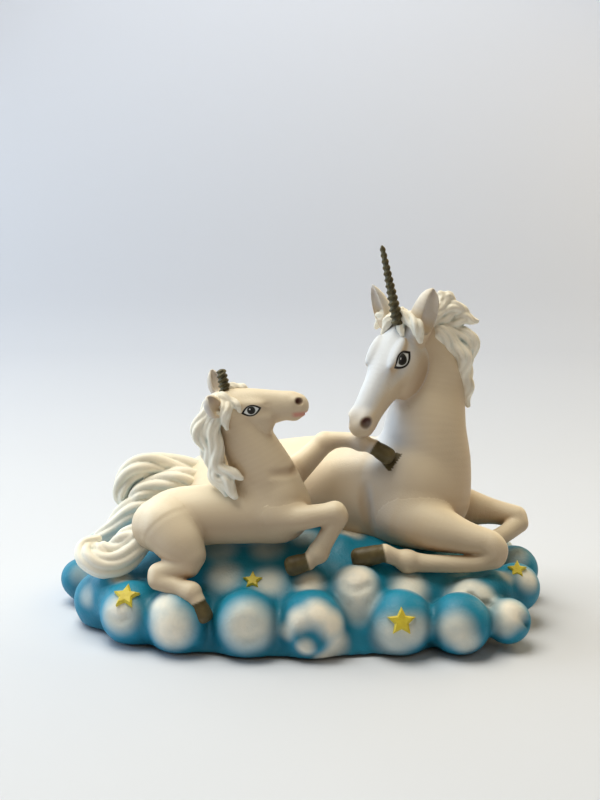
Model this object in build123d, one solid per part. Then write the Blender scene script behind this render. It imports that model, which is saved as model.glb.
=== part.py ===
from build123d import *

import os
from math import cos, radians, sin

# Unicorn mare and foal lying on a cloud: a cast-resin shelf ornament.
# It is a set of castings glued and pinned together: a solid cloud with a felt sole, two bodies that lie in
# seats of the cloud, and heads, legs, tails, horns and stars that are cast apart and joined on steel dowels.
# Millimetres. +X runs from the foal's tail to the mare's knees, +Y from front to back, +Z up.
# The origin is on the table, under the middle of the cloud.

# Driving dimensions
CLOUD_LENGTH = 216.0
CLOUD_DEPTH = 132.0
FELT_THICKNESS = 1.0
FELT_INSET = 20.0
MARE_HEAD_LENGTH = 57.0
FOAL_HEAD_LENGTH = 37.5
MARE_HORN_LENGTH = 32.3
FOAL_HORN_LENGTH = 11.1
HORN_SPIGOT = 4.0
HORN_SPIGOT_SHARE = 0.6
HORN_FLATNESS = 0.74
HORN_STEPS_A_TURN = 8
MARE_HORN_RADII = (2.8, 1.2)
MARE_HORN_TURNS = 6
FOAL_HORN_RADII = (2.7, 2.1)
FOAL_HORN_TURNS = 3
DOWEL_RADIUS = 1.0
DOWEL_LENGTH = 12.0
DOWEL_PLAY = 0.05
FRONT_TO_BACK = Vector(0, 1, 0)


# Helpers for round, tapering forms

END_TURNS = (32, 60, 80)  # degrees of the extra sections of a round end
PASTERN_ROOT = 0.70  # shares of the coronet's radius
PASTERN_WAIST = 0.88
SOLE_ACROSS = 0.95  # share of the sole's own radius


def ring(at, along, across, up):
    """An oval section square to the direction along, its first radius lying level from front to back."""
    level = FRONT_TO_BACK - along * FRONT_TO_BACK.dot(along)
    return (Plane(origin=at, x_dir=level, z_dir=along) * Ellipse(across, up)).wire()


def rounded_end(at, along, way, across, up):
    """Sections that close a form with a round end, from the widest outwards; way is 1 ahead and -1 behind."""
    rings = []
    for turn in END_TURNS:
        shrink = cos(radians(turn))
        offset = along * (way * min(across, up) * sin(radians(turn)))
        rings.append(ring(at + offset, along, across * shrink, up * shrink))
    return rings


def limb(*stations):
    """A smooth, round-ended form through stations of (point, radius) or (point, radius across, radius up)."""
    points = [Vector(*station[0]) for station in stations]
    radii = [(station[1], station[-1]) for station in stations]
    ahead = points[1:] + points[-1:]
    behind = points[:1] + points[:-1]
    along = [(after - before).normalized() for after, before in zip(ahead, behind)]
    middle = [ring(at, way, *size) for at, way, size in zip(points, along, radii)]
    start = rounded_end(points[0], along[0], -1, *radii[0])
    end = rounded_end(points[-1], along[-1], 1, *radii[-1])
    return Solid.make_loft(start[::-1] + middle + end)


def foot(fetlock, coronet, sole, coronet_radius, sole_radius):
    """A pastern that widens to the coronet, and a hoof that flares from there to its flat sole."""
    joint, top, bottom = Vector(*fetlock), Vector(*coronet), Vector(*sole)
    pastern = (top - joint).normalized()
    hoof = (bottom - top).normalized()
    root_radius = coronet_radius * PASTERN_ROOT
    waist_radius = coronet_radius * PASTERN_WAIST
    middle_radius = (coronet_radius + sole_radius) / 2
    return Solid.make_loft(
        [
            ring(joint, pastern, root_radius, root_radius),
            ring((joint + top) * 0.5, pastern, waist_radius, waist_radius),
            ring(top, (pastern + hoof).normalized(), coronet_radius, coronet_radius),
            ring((top + bottom) * 0.5, hoof, middle_radius, middle_radius),
            ring(bottom, hoof, sole_radius * SOLE_ACROSS, sole_radius),
        ]
    )


def bulge(centre, radii):
    """An egg-shaped mass."""
    return (Location(centre) * scale(Sphere(1), by=tuple(radii))).solid()


def joined(*solids):
    """One casting made of overlapping forms."""
    whole = solids[0]
    for solid in solids[1:]:
        whole = largest(whole.fuse(solid))
    return whole


def largest(shape):
    """The main solid of a shape, without crumbs left by a cut."""
    return max(shape.solids(), key=lambda solid: solid.volume)


def fitted(piece, *neighbours):
    """A casting trimmed to lie against the castings that it is glued to."""
    return largest(piece.cut(*neighbours))


def dowel(at, towards, length=DOWEL_LENGTH, radius=DOWEL_RADIUS):
    """A steel pin centred on the glue line, pointing from the body out into the piece that it holds."""
    axis = (Vector(*towards) - Vector(*at)).normalized()
    plane = Plane(origin=Vector(*at) - axis * (length / 2), z_dir=axis)
    return plane.location * Solid.make_cylinder(radius, length)


def dowel_hole(at, towards):
    """The drilled hole for a dowel, a little longer and wider than the pin."""
    return dowel(at, towards, DOWEL_LENGTH + 1.0, DOWEL_RADIUS + DOWEL_PLAY)


# Heads, built along the face with the poll at the origin: +X to the muzzle, +Z out of the forehead

MARE_SECTIONS = (  # along the face, top line, jaw line and half width, as shares of the head's length
    (0.02, 0.00, -0.38, 0.150),
    (0.13, 0.02, -0.47, 0.185),
    (0.27, 0.03, -0.53, 0.200),
    (0.41, 0.03, -0.50, 0.185),
    (0.56, 0.02, -0.34, 0.138),
    (0.72, 0.02, -0.24, 0.112),
    (0.86, 0.02, -0.23, 0.108),
    (0.94, 0.00, -0.22, 0.096),
)
FOAL_SECTIONS = (
    (0.02, 0.02, -0.36, 0.160),
    (0.16, 0.04, -0.44, 0.190),
    (0.30, 0.05, -0.50, 0.190),
    (0.44, 0.04, -0.51, 0.175),
    (0.58, 0.03, -0.43, 0.146),
    (0.72, 0.02, -0.33, 0.128),
    (0.86, 0.01, -0.31, 0.124),
    (0.93, 0.00, -0.29, 0.112),
)
MARE_EYE = (0.35, 0.125, -0.035)  # the brow's place over the eye
FOAL_EYE = (0.41, 0.135, -0.120)
BROW_RADII = (0.085, 0.045, 0.055)
MARE_NOSTRIL = (0.93, 0.072, -0.045)
FOAL_NOSTRIL = (0.94, 0.080, -0.070)
NOSTRIL_RADII = (0.040, 0.030, 0.032)
MARE_MOUTH = (1.02, 0.0, -0.168)
FOAL_MOUTH = (1.02, 0.0, -0.228)
MOUTH_SIZE = (0.22, 0.30, 0.014)
EAR_ROOT = (0.03, 0.15, -0.05)
EAR_RADII = ((0.055, 0.065), (0.070, 0.075), (0.050, 0.050), (0.016, 0.016))
EAR_STEPS = (0.0, 0.35, 0.75, 1.0)
EAR_OPENS = (0.015, 0.042, 0.009)
EAR_LIP = 0.05
EAR_HOLLOW = 0.62
NAPE_SETBACK = 0.06
NAPE_SHARE = 0.6


def head_plane(poll, yaw, pitch):
    """The frame of a head that looks along yaw and pitch, in degrees."""
    level = Vector(cos(radians(yaw)), sin(radians(yaw)), 0)
    face = level * cos(radians(pitch)) + Vector(0, 0, sin(radians(pitch)))
    forehead = level * -sin(radians(pitch)) + Vector(0, 0, cos(radians(pitch)))
    return Plane(origin=poll, x_dir=face, z_dir=forehead)


def skull(length, sections, eye, nostril, mouth):
    """The head without ears: a loft along the face, with brows, nostrils and a parted mouth."""
    ahead = Vector(1, 0, 0)
    middles = [Vector(x, 0, (top + jaw) / 2) * length for x, top, jaw, half_width in sections]
    sizes = [(half_width * length, (top - jaw) / 2 * length) for x, top, jaw, half_width in sections]
    nape = ring(middles[0] - ahead * (NAPE_SETBACK * length), ahead, *[size * NAPE_SHARE for size in sizes[0]])
    face = [ring(at, ahead, *size) for at, size in zip(middles, sizes)]
    nose = rounded_end(middles[-1], ahead, 1, *sizes[-1])
    form = Solid.make_loft([nape, *face, *nose])
    for side in (-1, 1):
        brow = Vector(eye[0], eye[1] * side, eye[2]) * length
        form = joined(form, bulge(brow, [radius * length for radius in BROW_RADII]))
    for side in (-1, 1):
        hollow = Vector(nostril[0], nostril[1] * side, nostril[2]) * length
        form = fitted(form, bulge(hollow, [radius * length for radius in NOSTRIL_RADII]))
    slit = Box(*[size * length for size in MOUTH_SIZE]).moved(Location(Vector(*mouth) * length))
    return fitted(form, slit.solid())


def ear(length, side, tip):
    """An ear: a leaf-shaped cup from its root on the poll to its tip, open to the outside."""
    root = Vector(EAR_ROOT[0], EAR_ROOT[1] * side, EAR_ROOT[2]) * length
    end = Vector(*tip) * length
    along = (end - root).normalized()
    opening = Vector(EAR_OPENS[0], EAR_OPENS[1] * side, EAR_OPENS[2]) * length
    shell = []
    scoop = []
    for step, (across, up) in zip(EAR_STEPS, EAR_RADII):
        at = root + (end - root) * step
        shell.append(ring(at, along, across * length, up * length))
        hollow = at + along * (EAR_LIP * length) + opening
        scoop.append(ring(hollow, along, across * EAR_HOLLOW * length, up * EAR_HOLLOW * length))
    return fitted(Solid.make_loft(shell), Solid.make_loft(scoop))


def horn(length, root_radius, tip_radius, turns):
    """A spiral horn standing on its spigot: one tapering bar of oval section, twisted along its length."""
    steps = turns * HORN_STEPS_A_TURN
    rings = []
    for step in range(steps + 1):
        share = step / steps
        turn = radians(360 * turns * share)
        radius = root_radius + (tip_radius - root_radius) * share
        plane = Plane(origin=(0, 0, length * share), x_dir=(cos(turn), sin(turn), 0), z_dir=(0, 0, 1))
        rings.append((plane * Ellipse(radius, radius * HORN_FLATNESS)).wire())
    spigot = Solid.make_cylinder(root_radius * HORN_SPIGOT_SHARE, HORN_SPIGOT + root_radius)
    return joined(Solid.make_loft(rings), spigot.moved(Location((0, 0, -HORN_SPIGOT))))


def set_on(piece, root, tip):
    """Stands a piece that was made upright on root, leaning to tip."""
    return Plane(origin=root, z_dir=Vector(*tip) - Vector(*root)).location * piece


# Mare

MARE_HEAD = head_plane((44.9, 8.0, 130.4), yaw=232, pitch=-48)
MARE_EAR_TIPS = {1: (-0.19, 0.225, 0.07), -1: (-0.14, -0.235, 0.19)}
MARE_HORN_ROOT = (41.4, 1.0, 131.5)
MARE_HORN_TIP = (34.5, -3.0, 162.8)


def mare_body():
    """Trunk, neck and near shoulder, one casting."""
    trunk = limb(
        ((-50, 29, 40), 13),
        ((-37, 28, 43), 21),
        ((-14, 24, 45.5), 24),
        ((14, 16, 49), 25.5),
        ((38, 8, 50.5), 24.5),
        ((51, 3, 52), 20),
    )
    neck = limb(
        ((54, 2, 52), 19, 21),
        ((56, 3, 65), 17, 19.4),
        ((55, 5, 80), 15.3, 18.2),
        ((57.5, 8, 93), 13.9, 15.4),
        ((59, 11, 108), 12, 13),
        ((53, 11, 120), 9.5, 10),
    )
    shoulder = bulge((45, -5, 53), (21, 13, 25))
    return joined(trunk, neck, shoulder)


def mare_mane():
    """Locks that fall from the crest to the back of the neck, and the forelock."""
    return [
        limb(((54.6, 10, 127.5), 4), ((60, 13, 135), 4.2), ((66.6, 15, 137.5), 3), ((70.5, 16, 134), 1.4)),
        limb(((60, 14, 127), 4.5), ((69.7, 17, 129.5), 4.2), ((75.6, 18, 128), 3), ((79.5, 17, 126), 1.2)),
        limb(((62, 13, 125), 5), ((70.5, 15, 121.5), 5), ((75, 15, 115), 4.2), ((76.5, 14, 108), 1.8)),
        limb(((64, 11, 117), 5), ((72, 12, 110), 5), ((75.5, 11, 101.5), 4), ((73.5, 9, 92.6), 1.6)),
        limb(((58, 18, 124), 5), ((64, 22, 114), 5), ((66, 23, 102), 4.4), ((63, 22, 91), 1.6)),
        limb(((52, 17, 126), 4.5), ((54, 23, 116), 4.6), ((57, 25, 105), 4), ((60, 24, 95), 1.6)),
        limb(((44, 6, 131), 4.2), ((38, -1, 128), 4.2), ((33, -7, 122), 3), ((31, -9, 116), 1.4)),
        limb(((46, 4, 131), 4), ((47, -2, 128.5), 3.8), ((47.5, -5, 124.5), 2.8), ((48.5, -6, 121), 1.4)),
    ]


def mare_head(body):
    """Head, ears, forelock and mane, one casting that plugs onto the neck."""
    face = skull(MARE_HEAD_LENGTH, MARE_SECTIONS, MARE_EYE, MARE_NOSTRIL, MARE_MOUTH)
    ears = [ear(MARE_HEAD_LENGTH, side, tip) for side, tip in MARE_EAR_TIPS.items()]
    placed = [MARE_HEAD.location * form for form in [face, *ears]]
    return fitted(joined(*placed, *mare_mane()), body)


def mare_legs():
    """The four legs by name, each a casting from shoulder or thigh to hoof."""
    near_fore = joined(
        limb(
            ((45.6, -12, 46), 13),
            ((58, -21, 44.5), 10),
            ((71, -26, 42.6), 6.4),
            ((80.8, -28, 41), 5.8),
        ),
        limb(
            ((81.5, -29, 35.6), 5.4),
            ((73, -30, 33), 4.4),
            ((60, -31, 32.8), 4.2),
            ((46, -32, 34.3), 4.9),
        ),
        limb(((80, -28, 40), 5.2), ((81.2, -29, 36.5), 5.1)),
        foot((45.5, -32, 34.4), (35, -33, 35.2), (24.2, -33.5, 36.2), 4.2, 5),
    )
    off_fore = joined(
        limb(((70, 17, 42), 10), ((86, 15, 39.5), 6), ((97.5, 11.5, 37.2), 5)),
        limb(((98.5, 9.5, 34.8), 4.5), ((91, 3, 32.4), 4), ((82, -3, 30), 4.5)),
        foot((82, -3, 30), (76, -5.8, 28.6), (68.5, -9, 27), 4.1, 5),
    )
    near_hind = joined(
        limb(((-36, 12, 42), 15), ((-24, 6, 39), 13), ((-11, 3, 37), 9)),
        limb(((-12, 2, 33), 7), ((-28, 0, 32), 6.6), ((-43, 0, 30.5), 5.8)),
        limb(((-43, -2, 28.5), 4.8), ((-30, -4, 28.5), 4.5), ((-19, -5, 29), 4.9)),
        foot((-19, -5, 29), (-13, -5.5, 29.4), (-5, -6, 30), 4.2, 5.3),
    )
    off_hind = joined(
        limb(((-37, 42, 40), 14.5), ((-24, 46, 36), 12.5), ((-11, 47, 33), 8.6)),
        limb(((-12, 48, 29.5), 6.8), ((-28, 50, 29), 6.4), ((-44, 50, 27), 5.8)),
        limb(((-44, 52, 25), 4.8), ((-31, 53, 25), 4.5), ((-20, 53, 25), 4.9)),
        foot((-20, 53, 25), (-14, 53, 25.2), (-6, 53, 25.6), 4.2, 5.3),
    )
    return {
        "mare_near_foreleg": near_fore,
        "mare_off_foreleg": off_fore,
        "mare_near_hindleg": near_hind,
        "mare_off_hindleg": off_hind,
    }


def mare_tail():
    """Three rolled hanks of hair, swept back from the croup and down over the cloud."""
    return joined(
        limb(
            ((-43, 26, 54), 7),
            ((-56, 24, 58.5), 6.6),
            ((-68, 22, 60), 6.2),
            ((-77, 20, 56), 5.6),
            ((-81, 18, 48), 4.6),
            ((-77, 17, 41), 2.6),
        ),
        limb(
            ((-44, 21, 51), 6.2),
            ((-53, 17.6, 52.8), 5.9),
            ((-61, 15.6, 53.2), 5.5),
            ((-68, 14.6, 51), 5),
            ((-73, 14, 46.5), 4.4),
            ((-76, 14, 41.5), 3.6),
        ),
        limb(
            ((-58, 15, 46), 6),
            ((-66, 14.4, 44.4), 6),
            ((-74, 13, 41), 5.6),
            ((-81, 11.8, 36), 5),
            ((-87.5, 11.2, 30.5), 4.2),
            ((-93.5, 11.4, 24.6), 3),
        ),
    )


MARE_DOWELS = {  # on the glue line, then a point further out in the piece
    "mare_near_foreleg": ((51.5, -15.1, 43), (59.2, -20.9, 40)),
    "mare_off_foreleg": ((61, 17.5, 43.5), (72, 17, 41)),
    "mare_near_hindleg": ((-30, 5, 40), (-26, -2, 38)),
    "mare_off_hindleg": ((-29.5, 47.8, 37.3), (-27.5, 55.8, 34.3)),
    "mare_tail": ((-50.7, 24.2, 53), (-59.7, 23.2, 57)),
    "mare_head": ((47.6, 6.8, 113), (40.7, 2.7, 106)),
}


# Foal

FOAL_HEAD = head_plane((-35.0, -22.0, 103.0), yaw=-7, pitch=2)
FOAL_EAR_TIPS = {1: (-0.08, 0.22, 0.20), -1: (-0.07, -0.27, 0.03)}
FOAL_HORN_ROOT = (-30.9, -22.5, 102.5)
FOAL_HORN_TIP = (-33.0, -22.5, 113.4)


def foal_body():
    """Trunk and neck, one casting."""
    trunk = limb(
        ((-60, -26, 46.5), 11.4),
        ((-51, -26, 49.5), 13.2),
        ((-41, -26, 51), 12.8),
        ((-31, -26, 51.6), 12.6),
        ((-21, -26, 52), 12.8),
        ((-10, -26, 53), 12.4),
    )
    neck = limb(
        ((-9, -25, 54), 13, 13.6),
        ((-13.8, -25, 66), 12.2, 13.6),
        ((-20, -24, 79), 10.6, 11.8),
        ((-25, -23, 90), 9, 10),
    )
    return joined(trunk, neck)


def foal_mane():
    """Locks that fall over the near side of the neck, and the forelock."""
    return [
        limb(
            ((-35.7, -27, 99), 4.5),
            ((-39, -28, 91.3), 4.6),
            ((-39.3, -28, 82.7), 4.2),
            ((-36.8, -28, 75), 1.6),
        ),
        limb(
            ((-30, -31, 98.5), 3.6),
            ((-32, -33, 88), 4),
            ((-29.7, -35, 78), 3.6),
            ((-23.5, -37, 69.2), 1.5),
        ),
        limb(
            ((-33.2, -30, 82), 4.2),
            ((-34, -31.5, 73), 4.2),
            ((-29.6, -35, 66), 3.6),
            ((-23.6, -37.5, 61), 1.4),
        ),
        limb(((-36, -20, 98), 4.4), ((-37.5, -18, 88), 4.4), ((-35.5, -17, 78), 3.6), ((-31, -17, 70), 1.5)),
        limb(
            ((-33, -23, 103), 3.4),
            ((-28, -25, 103.5), 3.2),
            ((-23.5, -26, 103), 2.2),
            ((-20.5, -27, 102), 1.1),
        ),
    ]


def foal_head(body):
    """Head, ears, forelock and mane, one casting that plugs onto the neck."""
    face = skull(FOAL_HEAD_LENGTH, FOAL_SECTIONS, FOAL_EYE, FOAL_NOSTRIL, FOAL_MOUTH)
    ears = [ear(FOAL_HEAD_LENGTH, side, tip) for side, tip in FOAL_EAR_TIPS.items()]
    placed = [FOAL_HEAD.location * form for form in [face, *ears]]
    return fitted(joined(*placed, *foal_mane()), body)


def foal_legs():
    """The four legs by name; the off foreleg reaches out to the mare's breast."""
    near_fore = joined(
        limb(((-11, -32, 53), 8), ((-1, -36.5, 53.2), 5.6), ((9, -38, 55), 4.6), ((14.4, -38, 56), 4.9)),
        limb(((15.6, -38, 54), 4.5), ((11.8, -38, 46.4), 3.9), ((7.6, -38, 38.4), 4.2)),
        foot((7.6, -38, 38.4), (3, -38.8, 34.8), (-4.2, -39.5, 32.4), 3.9, 4.8),
    )
    raised_fore = joined(
        limb(((-3, -15, 61), 8), ((4.3, -11, 69.9), 6), ((10.8, -7.5, 77), 5.1)),
        limb(((12, -7, 78), 4.6), ((19, -7, 78.6), 4.1), ((26, -7.5, 78.2), 4.5)),
        foot((26.2, -7.6, 78), (31.2, -8.5, 76.3), (38.6, -10.4, 71.4), 3.9, 4.5),
    )
    near_hind = joined(
        limb(((-55, -33, 48.5), 12.2), ((-50.5, -38, 43.5), 10.2), ((-46.4, -41, 38.6), 7.4)),
        limb(((-47, -42.5, 34.8), 5.8), ((-53, -43.5, 33), 5.1), ((-58.4, -44, 31.4), 4.7)),
        limb(((-58.8, -45.6, 29.2), 4.2), ((-51.5, -48, 27.4), 3.9), ((-45, -50.2, 25.4), 4.5)),
        foot((-45, -50.2, 25.4), (-42.4, -52, 22), (-39.6, -54, 16), 3.9, 4.9),
    )
    off_hind = joined(
        limb(((-54, -18, 46), 11.5), ((-48, -14, 41), 10), ((-42, -13, 37), 7)),
        limb(((-43, -13, 34.6), 5.6), ((-52, -13, 33), 5.4), ((-60, -13, 31.4), 5)),
        limb(((-60, -12, 29.4), 4.4), ((-53, -12, 29), 4.2), ((-47, -12, 29), 4.6)),
        foot((-47, -12, 29), (-42, -12, 29), (-35.5, -12, 29), 3.9, 4.8),
    )
    return {
        "foal_near_foreleg": near_fore,
        "foal_raised_foreleg": raised_fore,
        "foal_near_hindleg": near_hind,
        "foal_off_hindleg": off_hind,
    }


def foal_tail():
    """Two rolled hanks of hair that curl round on the cloud."""
    return joined(
        limb(
            ((-66, -25, 41), 5.4),
            ((-75.6, -29, 32.5), 5.6),
            ((-84, -31, 29.6), 5.2),
            ((-91, -28, 31.5), 4.6),
            ((-92, -22, 35.5), 4),
            ((-86.5, -18, 38), 2.4),
        ),
        limb(
            ((-67, -22, 42.5), 5),
            ((-76, -24, 36.5), 5.4),
            ((-83, -25, 34.4), 5),
            ((-87.4, -23, 35.8), 3.2),
        ),
    )


FOAL_DOWELS = {
    "foal_near_foreleg": ((-4.2, -36.4, 52), (3.8, -39.4, 54)),
    "foal_raised_foreleg": ((-2.6, -15.1, 60.3), (2.4, -11.1, 67.3)),
    "foal_near_hindleg": ((-46.8, -39.2, 42.8), (-42.8, -43.2, 38.8)),
    "foal_off_hindleg": ((-46.9, -12.9, 40.9), (-43.9, -8.9, 37.9)),
    "foal_tail": ((-70, -25, 40), (-76, -27, 34)),
    "foal_head": ((-14, -23.9, 93.2), (-6, -24.8, 96.5)),
}


# Cloud, stars and felt

FRONT_PUFFS = (  # from the left end along the front to the right end: x, y, z and radius
    (-99.0, 6.0, 11.0, 9.0),
    (-86.0, -20.0, 11.0, 12.0),
    (-70.6, -38.5, 12.0, 13.6),
    (-50.0, -47.0, 12.0, 14.2),
    (-21.8, -51.0, 12.0, 14.2),
    (5.0, -51.5, 12.0, 14.5),
    (41.5, -49.5, 12.0, 14.0),
    (66.0, -50.5, 12.0, 13.0),
    (88.0, -46.0, 12.0, 12.2),
    (94.5, -18.0, 15.0, 11.5),
    (97.0, 9.0, 14.0, 11.0),
)
UPPER_PUFFS = (  # the second row, between the animals and the front edge
    (-92.0, 23.0, 15.0, 11.5),
    (-80.0, -27.0, 16.0, 10.5),
    (24.0, -39.0, 21.0, 12.0),
    (46.0, -33.0, 18.5, 10.5),
    (73.0, -33.0, 17.0, 11.8),
    (4.0, -35.0, 23.0, 6.4),
    (18.0, -18.0, 31.0, 8.5),
    (82.0, -27.0, 17.0, 9.5),
)
MOUND_SECTIONS = (  # height, middle along X, half length and half depth
    (FELT_THICKNESS, 0.0, 100.0, 60.0),
    (10.0, 0.0, 98.0, 56.0),
    (18.0, 0.0, 93.0, 50.5),
    (26.0, -1.0, 84.0, 42.0),
    (32.0, -3.0, 72.0, 33.5),
    (36.0, -8.0, 58.0, 25.5),
    (39.0, -12.0, 40.0, 16.5),
    (40.6, -12.0, 18.0, 7.5),
)
BACK_PUFF_COUNT = 11
BACK_PUFF_RADII = (14.0, 16.0, 13.0)
BACK_PUFF_HEIGHT = 12.0
BACK_ARC = (22.0, 158.0)
BACK_SQUARENESS = 0.7


def back_puffs():
    """Puffs spread along the back edge, large and small by turns."""
    first, last = BACK_ARC
    rows = []
    for index in range(BACK_PUFF_COUNT):
        turn = radians(first + (last - first) * index / (BACK_PUFF_COUNT - 1))
        radius = BACK_PUFF_RADII[index % len(BACK_PUFF_RADII)]
        x = (CLOUD_LENGTH / 2 - radius) * cos(turn)
        y = (CLOUD_DEPTH / 2 - radius) * sin(turn) ** BACK_SQUARENESS
        rows.append((x, y, BACK_PUFF_HEIGHT, radius))
    return rows


def cloud():
    """The mound and its puffs, cut flat below, before the seats are cut."""
    rings = [
        (Plane(origin=(middle, 0, height)) * Ellipse(half_length, half_depth)).wire()
        for height, middle, half_length, half_depth in MOUND_SECTIONS
    ]
    mound = Solid.make_loft(rings)
    puffs = [
        Location((x, y, z)) * Solid.make_sphere(radius, angle1=-90, angle2=90)
        for x, y, z, radius in [*FRONT_PUFFS, *UPPER_PUFFS, *back_puffs()]
    ]
    whole = largest(mound.fuse(*puffs))
    below = Box(2 * CLOUD_LENGTH, 2 * CLOUD_DEPTH, CLOUD_DEPTH, align=(Align.CENTER, Align.CENTER, Align.MAX))
    below = below.moved(Location((0, 0, FELT_THICKNESS)))
    return fitted(whole, below.solid())


def felt():
    """The felt sole that carries the ornament."""
    oval = Ellipse(CLOUD_LENGTH / 2 - FELT_INSET, CLOUD_DEPTH / 2 - FELT_INSET)
    return extrude(oval, FELT_THICKNESS).solid()


STARS = {  # a place on the cloud's skin, the way the skin looks there, and the radius to the points
    "star_left": ((-72.0, -46.9, 22.7), (-0.10, -0.62, 0.78), 5.8),
    "star_middle": ((-19.5, -39.6, 27.9), (-0.02, -0.60, 0.80), 4.6),
    "star_front": ((41.5, -62.1, 18.0), (0.0, -0.90, 0.43), 6.0),
    "star_right": ((93.5, -25.6, 23.6), (-0.09, -0.66, 0.75), 5.4),
}
STAR_THICKNESS = 2.8
STAR_STANDS = 1.1
STAR_WAIST = 0.5
STAR_TAPER = 16


def star(place, looks, radius):
    """A five-pointed star with sloping sides, one point up, its back sunk in the skin at the given place."""
    points = []
    for index in range(10):
        reach = radius * (1 if index % 2 == 0 else STAR_WAIST)
        turn = radians(90 + 36 * index)
        points.append((reach * cos(turn), reach * sin(turn)))
    way = Vector(*looks).normalized()
    level = Vector(0, 0, 1).cross(way)
    back = Vector(*place) + way * (STAR_STANDS - STAR_THICKNESS)
    outline = Plane(origin=back, x_dir=level, z_dir=way) * Polygon(*points, align=None)
    return extrude(outline, STAR_THICKNESS, dir=way, taper=STAR_TAPER).solid()


# Assembly


def build():
    """Every piece by node name."""
    pieces = {"mare_body": mare_body(), "foal_body": foal_body()}
    mare, foal = pieces["mare_body"], pieces["foal_body"]
    mare_horn = set_on(horn(MARE_HORN_LENGTH, *MARE_HORN_RADII, MARE_HORN_TURNS), MARE_HORN_ROOT, MARE_HORN_TIP)
    foal_horn = set_on(horn(FOAL_HORN_LENGTH, *FOAL_HORN_RADII, FOAL_HORN_TURNS), FOAL_HORN_ROOT, FOAL_HORN_TIP)
    pieces["mare_head"] = fitted(mare_head(mare), mare_horn)
    pieces["foal_head"] = fitted(foal_head(foal), foal_horn)
    pieces["mare_horn"] = mare_horn
    pieces["foal_horn"] = foal_horn
    for name, leg in mare_legs().items():
        pieces[name] = fitted(leg, mare)
    pieces["mare_tail"] = fitted(mare_tail(), mare, pieces["mare_near_hindleg"])
    for name, leg in foal_legs().items():
        pieces[name] = fitted(leg, foal, mare)
    hidden = pieces["foal_off_hindleg"]
    pieces["foal_off_hindleg"] = fitted(hidden, pieces["mare_near_hindleg"], pieces["foal_near_hindleg"])
    pieces["foal_tail"] = fitted(foal_tail(), foal)
    for body, places in (("mare_body", MARE_DOWELS), ("foal_body", FOAL_DOWELS)):
        for name, (at, towards) in places.items():
            hole = dowel_hole(at, towards)
            pieces[name] = fitted(pieces[name], hole)
            pieces[body] = fitted(pieces[body], hole)
    stars = {name: star(*place) for name, place in STARS.items()}
    seated = [piece for name, piece in pieces.items() if "horn" not in name and "head" not in name]
    pieces["cloud_base"] = cloud()
    for piece in [*seated, *stars.values()]:
        pieces["cloud_base"] = fitted(pieces["cloud_base"], piece)
    pieces["felt_sole"] = felt()
    pieces.update(stars)
    pins = [dowel(*place) for place in [*MARE_DOWELS.values(), *FOAL_DOWELS.values()]]
    pieces["steel_dowels"] = Compound(pins)
    return pieces


def main():
    os.makedirs("parts", exist_ok=True)
    for name, piece in build().items():
        export_step(piece, f"parts/{name}.step")


main()
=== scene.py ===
# %% [markdown]
# # A unicorn mare and foal on a cloud
# The object is a shelf ornament of painted resin: a lying mare, a foal that reaches up to the mare, and a
# puffy cloud set with four stars. The solid model gives the sizes and the places of its castings. This
# lesson gives them the look of sculpted and airbrushed resin. The first cell loads the solids, which stay
# where they are.

import math

import bpy
import numpy as np
import openvdb
from mathutils import Matrix, Vector


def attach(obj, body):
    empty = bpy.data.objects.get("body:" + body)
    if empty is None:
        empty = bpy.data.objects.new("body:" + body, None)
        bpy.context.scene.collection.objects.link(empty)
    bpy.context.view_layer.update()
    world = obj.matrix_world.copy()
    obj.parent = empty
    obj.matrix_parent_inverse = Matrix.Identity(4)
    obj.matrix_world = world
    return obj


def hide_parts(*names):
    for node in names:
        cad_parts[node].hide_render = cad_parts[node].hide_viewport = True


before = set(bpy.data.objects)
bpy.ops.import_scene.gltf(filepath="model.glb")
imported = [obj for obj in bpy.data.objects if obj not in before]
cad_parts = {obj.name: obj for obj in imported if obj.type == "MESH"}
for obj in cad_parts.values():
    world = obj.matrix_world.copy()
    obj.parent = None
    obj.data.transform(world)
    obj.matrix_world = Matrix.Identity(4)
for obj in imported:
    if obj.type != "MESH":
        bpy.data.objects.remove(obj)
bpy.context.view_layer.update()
MM = 0.001

# %% [markdown]
# ## The camera
# A picture of a small thing on a table is usually taken from a little above, half a metre away. The lens
# here is long enough to keep the puffs round at the edges of the picture. The camera stands in front and
# looks 13 degrees down.

# %% Camera
LENS, SENSOR_WIDTH = 63.0, 36.0  # millimetres
CAMERA_PLACE = (0.0, -0.593, 0.232)  # metres
LOOKS_DOWN = 13  # degrees

camera_data = bpy.data.cameras.new("table_camera")
camera_data.lens = LENS
camera_data.sensor_width = SENSOR_WIDTH
camera = bpy.data.objects.new("table_camera", camera_data)
camera.location = CAMERA_PLACE
camera.rotation_euler = (math.radians(90 - LOOKS_DOWN), 0.0, 0.0)
bpy.context.collection.objects.link(camera)
bpy.context.scene.camera = camera
bpy.context.scene.view_settings.view_transform = "Standard"
print("camera at", tuple(camera.location))

# %% [markdown]
# ## Digital clay
# The castings are soft, rounded forms that run into each other, as when a modeller presses rolls and eggs
# of clay together. Subdivision surfaces would need a cage for every crease. Here each form is a distance
# field instead: a grid of numbers that say how far each point is from the skin. Two fields melt together
# with a smooth minimum, a tool digs with a smooth maximum, and the grid's zero surface becomes the mesh.

# %% Rolls and eggs of clay
FAR = 25.0  # millimetres, what a cell holds that no form has reached
HOOF_BLEND = 0.8
COARSE = 1.0


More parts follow.
